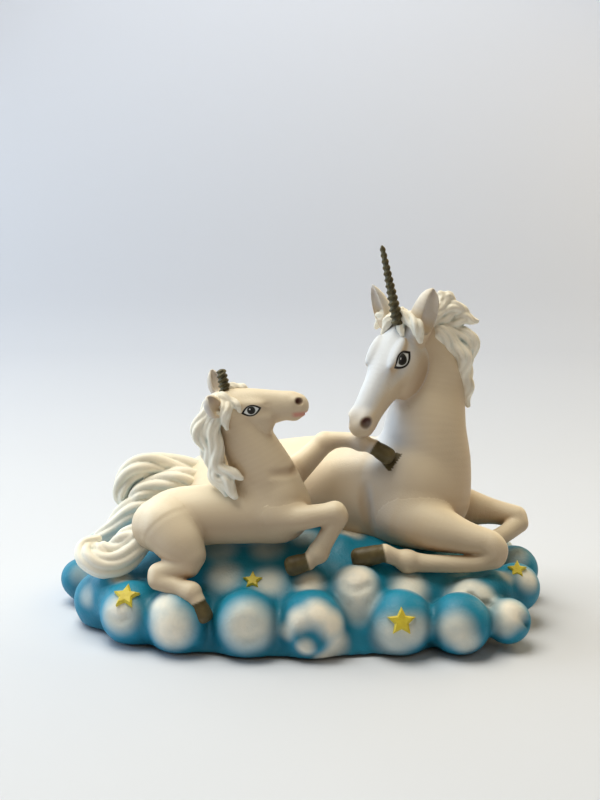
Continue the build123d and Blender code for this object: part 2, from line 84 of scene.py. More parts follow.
def smooth_path(stations, steps=6):
    """Rows of x, y, z, radius and narrowness on a curve through given stations."""
    rows = np.array([(*s[0], s[1], s[2] if len(s) > 2 else 1.0) for s in stations], dtype=np.float32)
    ends = np.vstack([2 * rows[0] - rows[1], rows, 2 * rows[-1] - rows[-2]])
    path = []
    for a, b, c, d in zip(ends, ends[1:], ends[2:], ends[3:]):
        for t in np.arange(steps) / steps:
            bend = (2 * a - 5 * b + 4 * c - d) * t**2
            twist = (3 * b - a - 3 * c + d) * t**3
            path.append(0.5 * (2 * b + (c - a) * t + bend + twist))
    path.append(rows[-1])
    return np.array(path)


def roll(*stations, blend=3.0, side=(0, 1, 0), steps=6):
    """A roll of clay through stations: place, radius and, if narrow, width as a share of the radius."""
    return {"rows": smooth_path(stations, steps), "blend": blend, "side": np.array(side, dtype=np.float32)}


def groove(*stations, **settings):
    """A groove that is dug along the stations of a roll."""
    return {**roll(*stations, **settings), "dig": True}


def egg(centre, radii, blend=3.0, axes=((1, 0, 0), (0, 1, 0), (0, 0, 1)), dig=False):
    """An egg of clay with its radii along three axes, pressed on, or dug out with a spoon of that shape."""
    return {"egg": np.array(centre, float), "radii": np.array(radii, float), "axes": np.array(axes, float),
            "blend": blend, "dig": dig}


def hoof(top, bottom, *radii):
    """A hoof: a cone with a flat sole, from its top radius to its bottom radius."""
    return {"hoof": np.array([top, bottom], float), "radii": radii, "blend": HOOF_BLEND}


def smooth_min(a, b, blend):
    """The nearer of two distances, with the step between them melted over the blend."""
    gap = np.maximum(blend - np.abs(a - b), 0)
    return np.minimum(a, b) - gap * gap / (4 * blend)


print("clay tools ready, grid coarser by", COARSE)

# %% [markdown]
# Every form can say how far a point is from its skin. A roll is a chain of tapering links, an egg is a
# stretched ball, and a hoof is a cone with round edges. The egg's answer is only near enough for blending,
# because the exact one has no short formula.

# %% Distances to the forms
HOOF_EDGE = 3.2


def link_distance(a, b, side, place):
    """Distance to one link of a roll: a tapering rod whose section may be narrow across its side."""
    way = b[:3] - a[:3]
    px, py, pz = (p - v for p, v in zip(place, a[:3]))
    t = np.clip((px * way[0] + py * way[1] + pz * way[2]) / max(float(way @ way), 1e-9), 0, 1)
    ox, oy, oz = px - t * way[0], py - t * way[1], pz - t * way[2]
    square = ox * ox + oy * oy + oz * oz
    narrow = 0.5 * (a[4] + b[4])
    if abs(narrow - 1) > 0.01:
        across = ox * side[0] + oy * side[1] + oz * side[2]
        square = square + across * across * (1 / narrow**2 - 1)
    return np.sqrt(square) - (a[3] + t * (b[3] - a[3]))


def egg_distance(form, place):
    """Distance to an egg, near enough for blending."""
    px, py, pz = (p - v for p, v in zip(place, form["egg"].astype(np.float32)))
    inside, slope = 0, 0
    for axis, radius in zip(form["axes"].astype(np.float32), form["radii"].astype(np.float32)):
        q = (px * axis[0] + py * axis[1] + pz * axis[2]) / radius
        inside = inside + q * q
        slope = slope + (q / radius) ** 2
    inside, slope = np.sqrt(inside), np.sqrt(slope)
    return inside * (inside - 1) / np.maximum(slope, 1e-4)


def hoof_distance(form, place):
    """Distance to a cone with flat ends and round edges."""
    top, bottom = form["hoof"].astype(np.float32)
    way = bottom - top
    length = float(np.linalg.norm(way))
    way = way / length
    px, py, pz = (p - v for p, v in zip(place, top))
    t = px * way[0] + py * way[1] + pz * way[2]
    radial = np.sqrt(np.maximum(px * px + py * py + pz * pz - t * t, 0))
    r0, r1 = form["radii"]
    wall = radial - (r0 + (r1 - r0) * np.clip(t / length, -0.2, 1)) + HOOF_EDGE
    ends = np.abs(t - length / 2) - length / 2 + HOOF_EDGE
    outside = np.hypot(np.maximum(wall, 0), np.maximum(ends, 0))
    return outside + np.minimum(np.maximum(wall, ends), 0) - HOOF_EDGE


def reach_of(form, margin=0.0):
    """The lowest and the highest corner of the room that a form takes, with a margin round it."""
    if "rows" in form:
        places, reach = form["rows"][:, :3], form["rows"][:, 3:4] + margin
    elif "egg" in form:
        places, reach = form["egg"][None], form["radii"].max() + margin
    else:
        places, reach = form["hoof"], max(form["radii"]) + margin
    return (places - reach).min(0), (places + reach).max(0)


print("distances ready for rolls, eggs and hooves")

# %% [markdown]
# A block is the grid that one casting is modelled in. Each form only touches the part of the grid around
# it, so a whole animal takes seconds. The casting's own forms and its neighbours' forms are kept apart as
# well, because the line where they are equally near is the glue line between two castings.

# %% A block of clay
PADDING = 3  # empty cells round the forms
MARGIN = 5.0  # millimetres that are measured beyond a form's blend


class Block:
    """A grid of distances, in millimetres, to the skin of one casting and to its neighbours' skins."""

    def __init__(self, low, high, step):
        self.step = step * COARSE
        self.low = np.array(low, dtype=np.float32) - PADDING * self.step
        self.count = np.ceil((np.array(high) + PADDING * self.step - self.low) / self.step).astype(int)
        self.axes = [l + self.step * np.arange(n, dtype=np.float32) for l, n in zip(self.low, self.count)]
        self.skin, self.own, self.others = (np.full(self.count, FAR, dtype=np.float32) for _ in range(3))

    def window(self, low, high, inside=None):
        """The slices and coordinates of the cells between two corners, or None outside the block."""
        first = np.maximum(np.floor((low - self.low) / self.step).astype(int), 0)
        last = np.minimum(np.ceil((high - self.low) / self.step).astype(int) + 1, self.count)
        if inside:
            first = np.maximum(first, [c.start for c in inside])
            last = np.minimum(last, [c.stop for c in inside])
        if (first >= last).any():
            return None, None
        cut = tuple(slice(a, b) for a, b in zip(first, last))
        x, y, z = (axis[c] for axis, c in zip(self.axes, cut))
        return cut, (x[:, None, None], y[None, :, None], z[None, None, :])

    def measure(self, form):
        """The window that a form touches and its distances there."""
        margin = form["blend"] + MARGIN
        cut, place = self.window(*reach_of(form, margin))
        if cut is None:
            return None, None
        if "egg" in form:
            return cut, egg_distance(form, place)
        if "hoof" in form:
            return cut, hoof_distance(form, place)
        distance = np.full([c.stop - c.start for c in cut], FAR, dtype=np.float32)
        for a, b in zip(form["rows"], form["rows"][1:]):
            reach = max(a[3], b[3]) + margin
            part, place = self.window(np.minimum(a, b)[:3] - reach, np.maximum(a, b)[:3] + reach, cut)
            if part is None:
                continue
            inner = tuple(slice(p.start - c.start, p.stop - c.start) for p, c in zip(part, cut))
            np.minimum(distance[inner], link_distance(a, b, form["side"], place), out=distance[inner])
        return cut, distance

    def press(self, form, is_own=True):
        """Adds a form to the block, or digs it out."""
        cut, distance = self.measure(form)
        if cut is None:
            return
        if form.get("dig"):
            self.skin[cut] = -smooth_min(-self.skin[cut], distance, form["blend"])
            return
        self.skin[cut] = smooth_min(self.skin[cut], distance, form["blend"])
        side = self.own if is_own else self.others
        side[cut] = np.minimum(side[cut], distance)

    def sample(self, field, points):
        """A field's value at any points, from the eight cells round each."""
        at = np.clip((points - self.low) / self.step, 0, self.count - 1.001)
        base = at.astype(int)
        f = at - base
        total = 0
        for dx in (0, 1):
            for dy in (0, 1):
                for dz in (0, 1):
                    share = abs(1 - dx - f[:, 0]) * abs(1 - dy - f[:, 1]) * abs(1 - dz - f[:, 2])
                    total = total + share * field[base[:, 0] + dx, base[:, 1] + dy, base[:, 2] + dz]
        return total


def block_round(forms, spare, step):
    """A block that holds some forms, with spare room round them."""
    corners = [reach_of(form) for form in forms]
    low, high = (pick([c[i] for c in corners], axis=0) for i, pick in enumerate((np.min, np.max)))
    return Block(low - spare, high + spare, step)


print("block ready")

# %% [markdown]
# OpenVDB, which ships with Blender, turns the grid into quads. Small crumbs are dropped, and each vertex gets a
# number called cavity: how closed in the skin is just in front of it. The paint cells use it to paint shade into
# such places.

# %% From clay to mesh
CRUMB_SHARE = 0.02  # of the quads of the largest shell
BAND = 3  # cells on each side of the skin that the mesher needs


def without_crumbs(points, quads):
    """The mesh without the small shells that clay leaves where forms just miss each other."""
    label = np.arange(len(points))
    while True:
        low = label[quads].min(1)
        new = label.copy()
        np.minimum.at(new, quads.ravel(), np.repeat(low, 4))
        new = new[new]
        if (new == label).all():
            break
        label = new
    sizes = np.bincount(label[quads[:, 0]])
    quads = quads[sizes[label[quads[:, 0]]] > CRUMB_SHARE * sizes.max()]
    used = np.unique(quads)
    lookup = np.zeros(len(points), dtype=int)
    lookup[used] = np.arange(len(used))
    return points[used], lookup[quads]


def skin_of(block, field):
    """Points and outward quads of the field's zero surface, in millimetres."""
    limit = BAND * block.step
    grid = openvdb.FloatGrid(limit)
    grid.copyFromArray(np.ascontiguousarray(np.clip(field, -limit, limit)))
    points, quads = grid.convertToQuads(0.0)
    return without_crumbs(points * block.step + block.low, quads.astype(int))


def normals_of(points, quads):
    """Vertex normals."""
    a, b, c, d = (points[quads[:, i]] for i in range(4))
    faces = np.cross(c - a, d - b)
    total = np.zeros_like(points)
    for i in range(4):
        np.add.at(total, quads[:, i], faces)
    return total / np.maximum(np.linalg.norm(total, axis=1, keepdims=True), 1e-9)


def store_mask(mesh, name, values):
    """Keeps one number for each vertex, where a shader can read it."""
    layer = mesh.attributes.new(name, "FLOAT", "POINT")
    layer.data.foreach_set("value", np.asarray(values, dtype=np.float32))


def add_piece(name, points, quads, masks, material, nodes):
    """A mesh object in metres with its paint masks, standing for CAD nodes."""
    mesh = bpy.data.meshes.new(name)
    mesh.from_pydata((points * MM).tolist(), [], quads.tolist())
    for label, values in masks.items():
        store_mask(mesh, label, values)
    mesh.shade_smooth()
    mesh.materials.append(material)
    piece = bpy.data.objects.new(name, mesh)
    bpy.context.collection.objects.link(piece)
    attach(piece, "root")
    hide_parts(*nodes)
    return piece


def cavities(block, points, normals, reach=2.5):
    """How closed in the skin is in front of each point, from 0 on open skin to 1 in a crease."""
    ahead = block.sample(block.skin, points + normals * reach)
    return np.clip(1 - ahead / reach, 0, 1)


print("mesher ready")

# %% [markdown]
# ## Paint
# The resin is cream with a warm brown mottle. Painted shade in the same brown darkens the skin that looks down
# or aside and the creases, and a painted cool light in bluish white lies on the mare's face and breast, whose
# white also pales the ears. Image textures would need a UV map on every casting. Masks that are
# stored on the vertices do the same job here: the shader mixes its colours by them and adds noise,
# roughness and a faint bump.

# %% Shader helpers
def add(tree, kind, inputs=None, **settings):
    """A node with its settings, its inputs set to values or joined to other nodes' outputs."""
    node = tree.nodes.new(kind)
    for key, value in settings.items():
        setattr(node, key, value)
    for key, value in (inputs or {}).items():
        if isinstance(value, bpy.types.NodeSocket):
            tree.links.new(value, node.inputs[key])
        else:
            node.inputs[key].default_value = value
    return node


def maths(tree, operation, a, b=0.0, clamp=False):
    """A Math node's result."""
    return add(tree, "ShaderNodeMath", {0: a, 1: b}, operation=operation, use_clamp=clamp).outputs[0]


def tinted(tree, share, first, second):
    """A colour that goes from the first to the second by a share."""
    return add(tree, "ShaderNodeMix", {0: share, 6: first, 7: second}, data_type="RGBA").outputs[2]


def mask(tree, name, gain=1.0):
    """A paint mask from the mesh."""
    value = add(tree, "ShaderNodeAttribute", attribute_name=name).outputs["Fac"]
    return maths(tree, "MULTIPLY", value, gain, clamp=True)


def mottle(tree, scale, low, high, detail=3.0):
    """Cloudy noise between two levels, in waves per metre."""
    place = add(tree, "ShaderNodeTexCoord").outputs["Object"]
    noise = add(tree, "ShaderNodeTexNoise", {"Vector": place, "Scale": scale, "Detail": detail})
    spread = add(tree, "ShaderNodeMapRange", {0: noise.outputs[0], 1: 0.3, 2: 0.7, 3: low, 4: high})
    return spread.outputs[0]


def bumps(tree, scale, depth, detail=2.0):
    """A bump from noise, in waves per metre and metres."""
    height = mottle(tree, scale, 0.0, 1.0, detail)
    bump = add(tree, "ShaderNodeBump", {"Height": height, "Distance": depth, "Strength": 1.0})
    return bump.outputs["Normal"]


def finish(name, paint):
    """A material whose shader is set up by a function of its tree and shader node."""
    material = bpy.data.materials.new(name)
    material.use_nodes = True
    paint(material.node_tree, material.node_tree.nodes["Principled BSDF"])
    return material


print("shader helpers ready")

# %% [markdown]
# The eyes are brush work: an almond of white, a dark line round it that runs out in two long corners, a dark
# iris and a painted highlight, one small white dot. The group below draws that in a flat frame. A Mapping node
# lays the frame
# on the head, so the eye stays put from every side, and a depth limit keeps it off the rest of the head.

# %% Painted eye
EYE_BLACK = (0.008, 0.006, 0.006, 1)
EYE_BROWN = (0.024, 0.025, 0.019, 1)
EYE_WHITE = (0.78, 0.80, 0.80, 1)
HIGHLIGHT_WHITE = (1, 1, 1, 1)
EYE_DEPTH = 4.5  # millimetres above and below the skin that the paint reaches
LID_GROWTH = (1.36, 1.34)  # the lid line against the white, along and across
IRIS = (0.0, 0.10, 0.98, 0.06)  # place along and across, radius and softness, in half heights
PUPIL = (0.0, 0.10, 0.66, 0.14)
# A painted highlight on the iris.
EYE_HIGHLIGHT = (-0.25, 0.40, 0.17, 0.05)


def eye_group():
    """The painted eye as a node group: a colour in, the same colour with the eye on it out."""
    tree = bpy.data.node_groups.new("painted_eye", "ShaderNodeTree")
    sockets = {"Place": "Vector", "Colour": "Color", "Half Length": "Float", "Half Height": "Float"}
    for name, kind in sockets.items():
        tree.interface.new_socket(name, in_out="INPUT", socket_type="NodeSocket" + kind)
    tree.interface.new_socket("Colour", in_out="OUTPUT", socket_type="NodeSocketColor")
    source, result = add(tree, "NodeGroupInput"), add(tree, "NodeGroupOutput")
    u, v, w = add(tree, "ShaderNodeSeparateXYZ", {0: source.outputs["Place"]}).outputs
    length, height = source.outputs["Half Length"], source.outputs["Half Height"]

    def share(value, half, growth):
        """How far out a coordinate is, in half sizes that are grown by a factor."""
        return maths(tree, "ABSOLUTE", maths(tree, "DIVIDE", value, maths(tree, "MULTIPLY", half, growth)))

    def almond(grow_length, grow_height):
        """A number that is 1 on the edge of an almond."""
        along = maths(tree, "POWER", share(u, length, grow_length), 2.0)
        return maths(tree, "ADD", along, share(v, height, grow_height))

    def within(value, limit, softness):
        """1 below a limit and 0 above it, with a soft edge."""
        edge = add(tree, "ShaderNodeMapRange", {0: value, 1: limit + softness, 2: limit - softness})
        return edge.outputs[0]

    def disc(at_u, at_v, radius, softness):
        """1 inside a round spot."""
        du = maths(tree, "SUBTRACT", u, maths(tree, "MULTIPLY", height, at_u))
        dv = maths(tree, "SUBTRACT", v, maths(tree, "MULTIPLY", height, at_v))
        square = maths(tree, "ADD", maths(tree, "MULTIPLY", du, du), maths(tree, "MULTIPLY", dv, dv))
        return within(maths(tree, "DIVIDE", maths(tree, "SQRT", square), height), radius, softness)

    near = within(maths(tree, "ABSOLUTE", w), EYE_DEPTH, 0.5)
    lid = maths(tree, "MULTIPLY", within(almond(*LID_GROWTH), 1.0, 0.06), near)
    white = maths(tree, "MULTIPLY", within(almond(1.0, 1.0), 1.0, 0.08), near)
    colour = tinted(tree, lid, source.outputs["Colour"], EYE_BLACK)
    colour = tinted(tree, white, colour, EYE_WHITE)
    for spot, paint in ((IRIS, EYE_BROWN), (PUPIL, EYE_BLACK), (EYE_HIGHLIGHT, HIGHLIGHT_WHITE)):
        colour = tinted(tree, maths(tree, "MULTIPLY", disc(*spot), white), colour, paint)
    tree.links.new(colour, result.inputs["Colour"])
    return tree


painted_eye = eye_group()
print("eye drawn with", len(painted_eye.nodes), "nodes")

# %% [markdown]
# One recipe paints all the resin. Every mask starts at 0, so a casting only carries the masks it needs. Creases
# get the darkest painted shade, and on hair that painted shade is a cold blue-green instead of brown.

# %% Resin paint
CREAM = (0.90, 0.79, 0.60, 1)
# Warm brown for a random mottle, and for painted shade below, aside and in creases.
MOTTLE_AND_SHADE_BROWN = (0.40, 0.245, 0.130, 1)
# Bluish white for painted cool light on the mare's face and breast, and for paler ears.
COOL_LIGHT_AND_EAR_WHITE = (0.66, 0.71, 0.79, 1)
HAIR_WHITE = (0.95, 0.92, 0.82, 1)
HAIR_SHADE = (0.30, 0.46, 0.50, 1)
LIP_PINK = (0.62, 0.25, 0.20, 1)
NOSTRIL_RED = (0.075, 0.022, 0.014, 1)
HOOF_BRONZE = (0.085, 0.066, 0.028, 1)
HOOF_WORN = (0.20, 0.155, 0.065, 1)


def coats_of(tree, crease_shade):
    """The coats of paint from the first to the last, each with the share that it covers."""
    hair = mask(tree, "hair")
    # Painted shade in creases, brown on skin and blue-green in patches on hair.
    skin_crease_shade = maths(tree, "MULTIPLY", crease_shade, maths(tree, "SUBTRACT", 1.0, hair))
    hair_crease_shade = maths(tree, "MULTIPLY", maths(tree, "MULTIPLY", crease_shade, hair), mottle(tree, 45, 0.1, 1.3))
    # The first coat is a random mottle. Then come painted shade below and in creases, painted cool light, hair
    # white, painted shade in the hair's creases, lips, nostrils and hooves.
    return (
        (mottle(tree, 55, 0.0, 0.10), MOTTLE_AND_SHADE_BROWN),
        (mask(tree, "blush", 0.85), MOTTLE_AND_SHADE_BROWN),
        (maths(tree, "MULTIPLY", skin_crease_shade, 0.9), MOTTLE_AND_SHADE_BROWN),
        (mask(tree, "cool", 0.95), COOL_LIGHT_AND_EAR_WHITE),
        (maths(tree, "MULTIPLY", hair, 0.75), HAIR_WHITE),
        (maths(tree, "MULTIPLY", hair_crease_shade, 0.9, clamp=True), HAIR_SHADE),
        (mask(tree, "lips"), LIP_PINK),
        (mask(tree, "dark"), NOSTRIL_RED),
        (mask(tree, "hoof"), tinted(tree, mottle(tree, 260, 0.0, 0.5), HOOF_BRONZE, HOOF_WORN)),
    )


def with_eye(tree, colour, matrix, half_length, half_height):
    """The colour with an eye painted on it, in a frame given in millimetres."""
    place = add(tree, "ShaderNodeTexCoord").outputs["Object"]
    laid = {"Location": matrix.translation * MM, "Rotation": matrix.to_euler(), "Scale": (MM, MM, MM)}
    spot = add(tree, "ShaderNodeMapping", {"Vector": place, **laid}, vector_type="TEXTURE")
    halves = {"Half Length": half_length, "Half Height": half_height}
    given = {"Place": spot.outputs[0], "Colour": colour, **halves}
    return add(tree, "ShaderNodeGroup", given, node_tree=painted_eye).outputs["Colour"]


def resin(name, eyes=()):
    """Painted resin; eyes are (matrix of the eye's frame, half length, half height) in millimetres."""

    def paint(tree, shader):
        # Painted shade in the creases, a little uneven.
        crease_shade = maths(tree, "MULTIPLY", mask(tree, "cavity"), mottle(tree, 160, 0.75, 1.0))
        colour = CREAM
        for share, coat in coats_of(tree, crease_shade):
            colour = tinted(tree, share, colour, coat)
        for eye in eyes:
            colour = with_eye(tree, colour, *eye)
        tree.links.new(colour, shader.inputs["Base Color"])
        rough = maths(tree, "ADD", mottle(tree, 400, 0.40, 0.52), maths(tree, "MULTIPLY", crease_shade, 0.15))
        tree.links.new(rough, shader.inputs["Roughness"])
        tree.links.new(bumps(tree, 1500, 0.00004), shader.inputs["Normal"])
        shader.inputs["Specular IOR Level"].default_value = 0.35

    return finish(name, paint)


ivory = resin("ivory_resin")
print("paint:", ivory.name)

# %% [markdown]
# ## Horse heads
# A horse's head is a wedge: deep at the round cheek, narrow down the nose, a little wider again at the
# nostrils. Both heads are built in a frame of their own, with the poll at the origin, x along the face, z
# out of the forehead and the head's length as the unit. The mare looks down over the shoulder, the foal
# looks level and ahead.

# %% Head frames
class HeadFrame:
    """A head's own axes: x to the muzzle, y to the side, z out of the forehead, in shares of its length."""

    def __init__(self, poll, yaw, pitch, length):
        yaw, pitch = math.radians(yaw), math.radians(pitch)
        level = np.array([math.cos(yaw), math.sin(yaw), 0.0])
        self.poll, self.length = np.array(poll, float), length
        self.face = level * math.cos(pitch) + np.array([0, 0, math.sin(pitch)])
        self.brow = -level * math.sin(pitch) + np.array([0, 0, math.cos(pitch)])
        self.side = np.cross(self.brow, self.face)
        self.axes = np.array([self.face, self.side, self.brow])

    def at(self, x, y, z):
        """A place in the shared frame."""
        return self.poll + self.length * (np.array([x, y, z]) @ self.axes)

    def egg(self, place, radii, blend, dig=False):
        """An egg set in the head's own axes."""
        return egg(self.at(*place), np.array(radii) * self.length, blend * self.length, self.axes, dig)

    def roll(self, *stations, blend):
        """A roll set in the head's own axes."""
        placed = [(self.at(*s[0]), s[1] * self.length, *s[2:]) for s in stations]
        return roll(*placed, blend=blend * self.length, side=self.side, steps=4)

    def local(self, points):
        """Points in the head's own axes."""
        return (points - self.poll) @ self.axes.T / self.length


mare_head = HeadFrame((44.9, 8.0, 130.4), yaw=232, pitch=-48, length=57.0)
foal_head = HeadFrame((-35.0, -22.0, 103.0), yaw=-7, pitch=2, length=37.5)
print("mare looks along", mare_head.face.round(2), "foal along", foal_head.face.round(2))

# %% [markdown]
# The skull is one roll whose section changes from station to station. Cheeks, brows, nasal bone, nostrils,
# lips and chin are eggs pressed onto it, and the nostrils and the mouth are dug out last, as with a small
# loop tool.

# %% Face forms
MARE_FACE = {
    "skull": (  # along the face, middle, half height, half width
        (0.04, -0.190, 0.190, 0.150),
        (0.14, -0.205, 0.230, 0.172),
        (0.26, -0.205, 0.240, 0.176),
        (0.40, -0.165, 0.200, 0.160),
        (0.56, -0.125, 0.152, 0.130),
        (0.72, -0.105, 0.127, 0.110),
        (0.84, -0.098, 0.112, 0.104),
        (0.90, -0.100, 0.098, 0.096),
    ),
    "eye": (0.352, 0.114, -0.046),
    "jowl": ((0.300, 0.112, -0.280), (0.235, 0.108, 0.232)),
    "nostril": (0.915, 0.070, -0.036),
    "lip": (0.925, 0.0, -0.112),
    "chin": (0.868, 0.0, -0.166),
    "mouth": -0.150,
    "bridge": (0.000, 0.000, -0.020),
}
FOAL_FACE = {
    "skull": (
        (0.04, -0.170, 0.190, 0.160),
        (0.16, -0.195, 0.240, 0.190),
        (0.30, -0.205, 0.255, 0.190),
        (0.44, -0.190, 0.235, 0.165),
        (0.58, -0.165, 0.195, 0.140),
        (0.72, -0.150, 0.168, 0.128),
        (0.83, -0.145, 0.160, 0.126),
        (0.89, -0.145, 0.145, 0.116),
    ),
    "eye": (0.415, 0.142, -0.165),
    "jowl": ((0.420, 0.085, -0.290), (0.235, 0.085, 0.225)),
    "nostril": (0.935, 0.084, -0.074),
    "lip": (0.930, 0.0, -0.150),
    "chin": (0.865, 0.0, -0.265),
    "mouth": -0.228,
    "bridge": (0.020, 0.010, -0.020),
}


def face_forms(head, face):
    """The clay of one head."""
    ex, ey, ez = face["eye"]
    nx, ny, nz = face["nostril"]
    forms = [head.roll(*[((x, 0, z), up, across / up) for x, z, up, across in face["skull"]], blend=0.06)]
    for y in (-1, 1):
        (jx, jy, jz), jowl = face["jowl"]
        forms += [
            head.egg((jx, jy * y, jz), jowl, 0.045),
            head.egg((ex - 0.02, (ey - 0.004) * y, ez + 0.066), (0.13, 0.036, 0.030), 0.07),
            head.egg((ex + 0.06, (ey - 0.012) * y, ez - 0.075), (0.13, 0.030, 0.028), 0.06),
            head.egg((ex, (ey - 0.010) * y, ez), (0.078, 0.032, 0.046), 0.015),
            head.egg((nx - 0.03, (ny - 0.012) * y, nz - 0.01), (0.065, 0.040, 0.052), 0.04),
        ]
    top, middle, end = face["bridge"]
    lx, ly, lz = face["lip"]
    cx, cy, cz = face["chin"]
    forms += [
        head.roll(
            ((0.16, 0, top - 0.04), 0.05), ((0.5, 0, middle - 0.055), 0.055), ((0.84, 0, end - 0.045), 0.05),
            blend=0.07,
        ),
        head.egg((lx, ly, lz), (0.070, 0.085, 0.068), 0.04),
        head.egg((cx, cy, cz), (0.072, 0.066, 0.050), 0.03),
    ]
    for y in (-1, 1):
        forms.append(head.egg((nx + 0.012, (ny + 0.012) * y, nz), (0.044, 0.034, 0.036), 0.02, dig=True))
    mouth = [((1.0, 0.0), 0.011), ((0.97, 0.08), 0.011), ((0.88, 0.112), 0.011), ((0.78, 0.116), 0.007)]
    for y in (-1, 1):
        line = [((x, across * y, face["mouth"]), width) for (x, across), width in mouth]
        forms.append({**head.roll(*line, blend=0.012), "dig": True})
    return forms


mare_face = face_forms(mare_head, MARE_FACE)
foal_face = face_forms(foal_head, FOAL_FACE)
print("forms in a face:", len(mare_face))

# %% [markdown]
# Ears are leaf shapes with a dug-out front. Each is a roll that widens and comes to a point, flat across
# the way it opens, and a smaller roll in front of it is dug out.

# %% Ears
EAR_SCOOP, EAR_FLATNESS = 0.62, 0.8  # shares of the ear's radius
SCOOP_FORWARD = 0.75


def ear_forms(stations, opens):
    """An ear through (place, radius) stations that opens towards a direction."""
    opens = np.array(opens, float) / np.linalg.norm(opens)
    shell = [(place, radius, EAR_FLATNESS) for place, radius in stations]
    scoop = []
    for place, radius in stations[1:]:
        scoop.append((np.array(place) + opens * radius * SCOOP_FORWARD, radius * EAR_SCOOP))
    return [roll(*shell, blend=1.6, side=opens, steps=4), groove(*scoop, blend=0.6, steps=4)]


mare_near_ear = [
    ((49.5, 3, 121), 4.4), ((51.5, 2.5, 127), 6.0), ((53.4, 2, 132.5), 6.2), ((55.4, 3, 138), 4.8),
    ((56.8, 4, 142), 1.6),
]
mare_off_ear = [
    ((38.0, 12, 127), 3.8), ((36.6, 12, 131.5), 4.6), ((34.8, 12, 136), 4.0), ((33.0, 11.5, 140), 2.6),
    ((31.6, 11, 143.2), 0.9),
]
foal_near_ear = [
    ((-33.5, -28, 95.5), 3.0), ((-35.0, -30, 98.0), 4.0), ((-36.4, -31, 100.5), 3.7),
    ((-37.6, -31.5, 103.0), 1.4),
]
foal_off_ear = [
    ((-34.0, -15, 101), 3.0), ((-35.4, -14, 104.5), 3.6), ((-36.4, -13.5, 107.5), 3.0),
    ((-37.2, -13, 110.5), 1.1),
]
mare_ears = ear_forms(mare_near_ear, (0.60, -0.78, 0.15)) + ear_forms(mare_off_ear, (-0.75, -0.60, 0.15))
foal_ears = ear_forms(foal_near_ear, (0.60, -0.78, 0.1)) + ear_forms(foal_off_ear, (0.35, -0.85, 0.1))
print("ears:", len(mare_ears + foal_ears) // 2)

# %% [markdown]
# ## Bodies and legs
# Trunk and neck are thick rolls, and muscles are eggs that swell out of them. A leg is a fleshy upper roll,
# a thin cannon, a pastern and a hoof with a flat sole. Each leg is a casting of its own on the real object,
# so each keeps its own list of forms.

# %% Legs
HOOVES = []


def leg(*rolls, fetlock, coronet, sole, radii, knees=()):
    """The forms of one leg: rolls from the body down to the fetlock, then pastern and hoof."""
    HOOVES.append((np.array(coronet, float), np.array(sole, float), radii[1]))
    forms = [roll(*stations, blend=blend) for stations, blend in rolls]
    forms += [egg(place, size, 2.0) for place, size in knees]
    small = radii[0]
    middle = (np.array(fetlock, float) + np.array(coronet, float)) / 2
    forms += [roll((fetlock, small * 1.08), (middle, small * 0.92), (coronet, small), blend=2.0)]
    forms += [hoof(coronet, sole, small * 1.02, radii[1])]
    return forms


print("leg tool ready")

# %% [markdown]
# The mare lies with both forelegs folded in front. The trunk runs from the rump at the back left to the
# breast, and the neck rises from it. A groove behind the shoulder keeps the upper arm apart from the ribs.

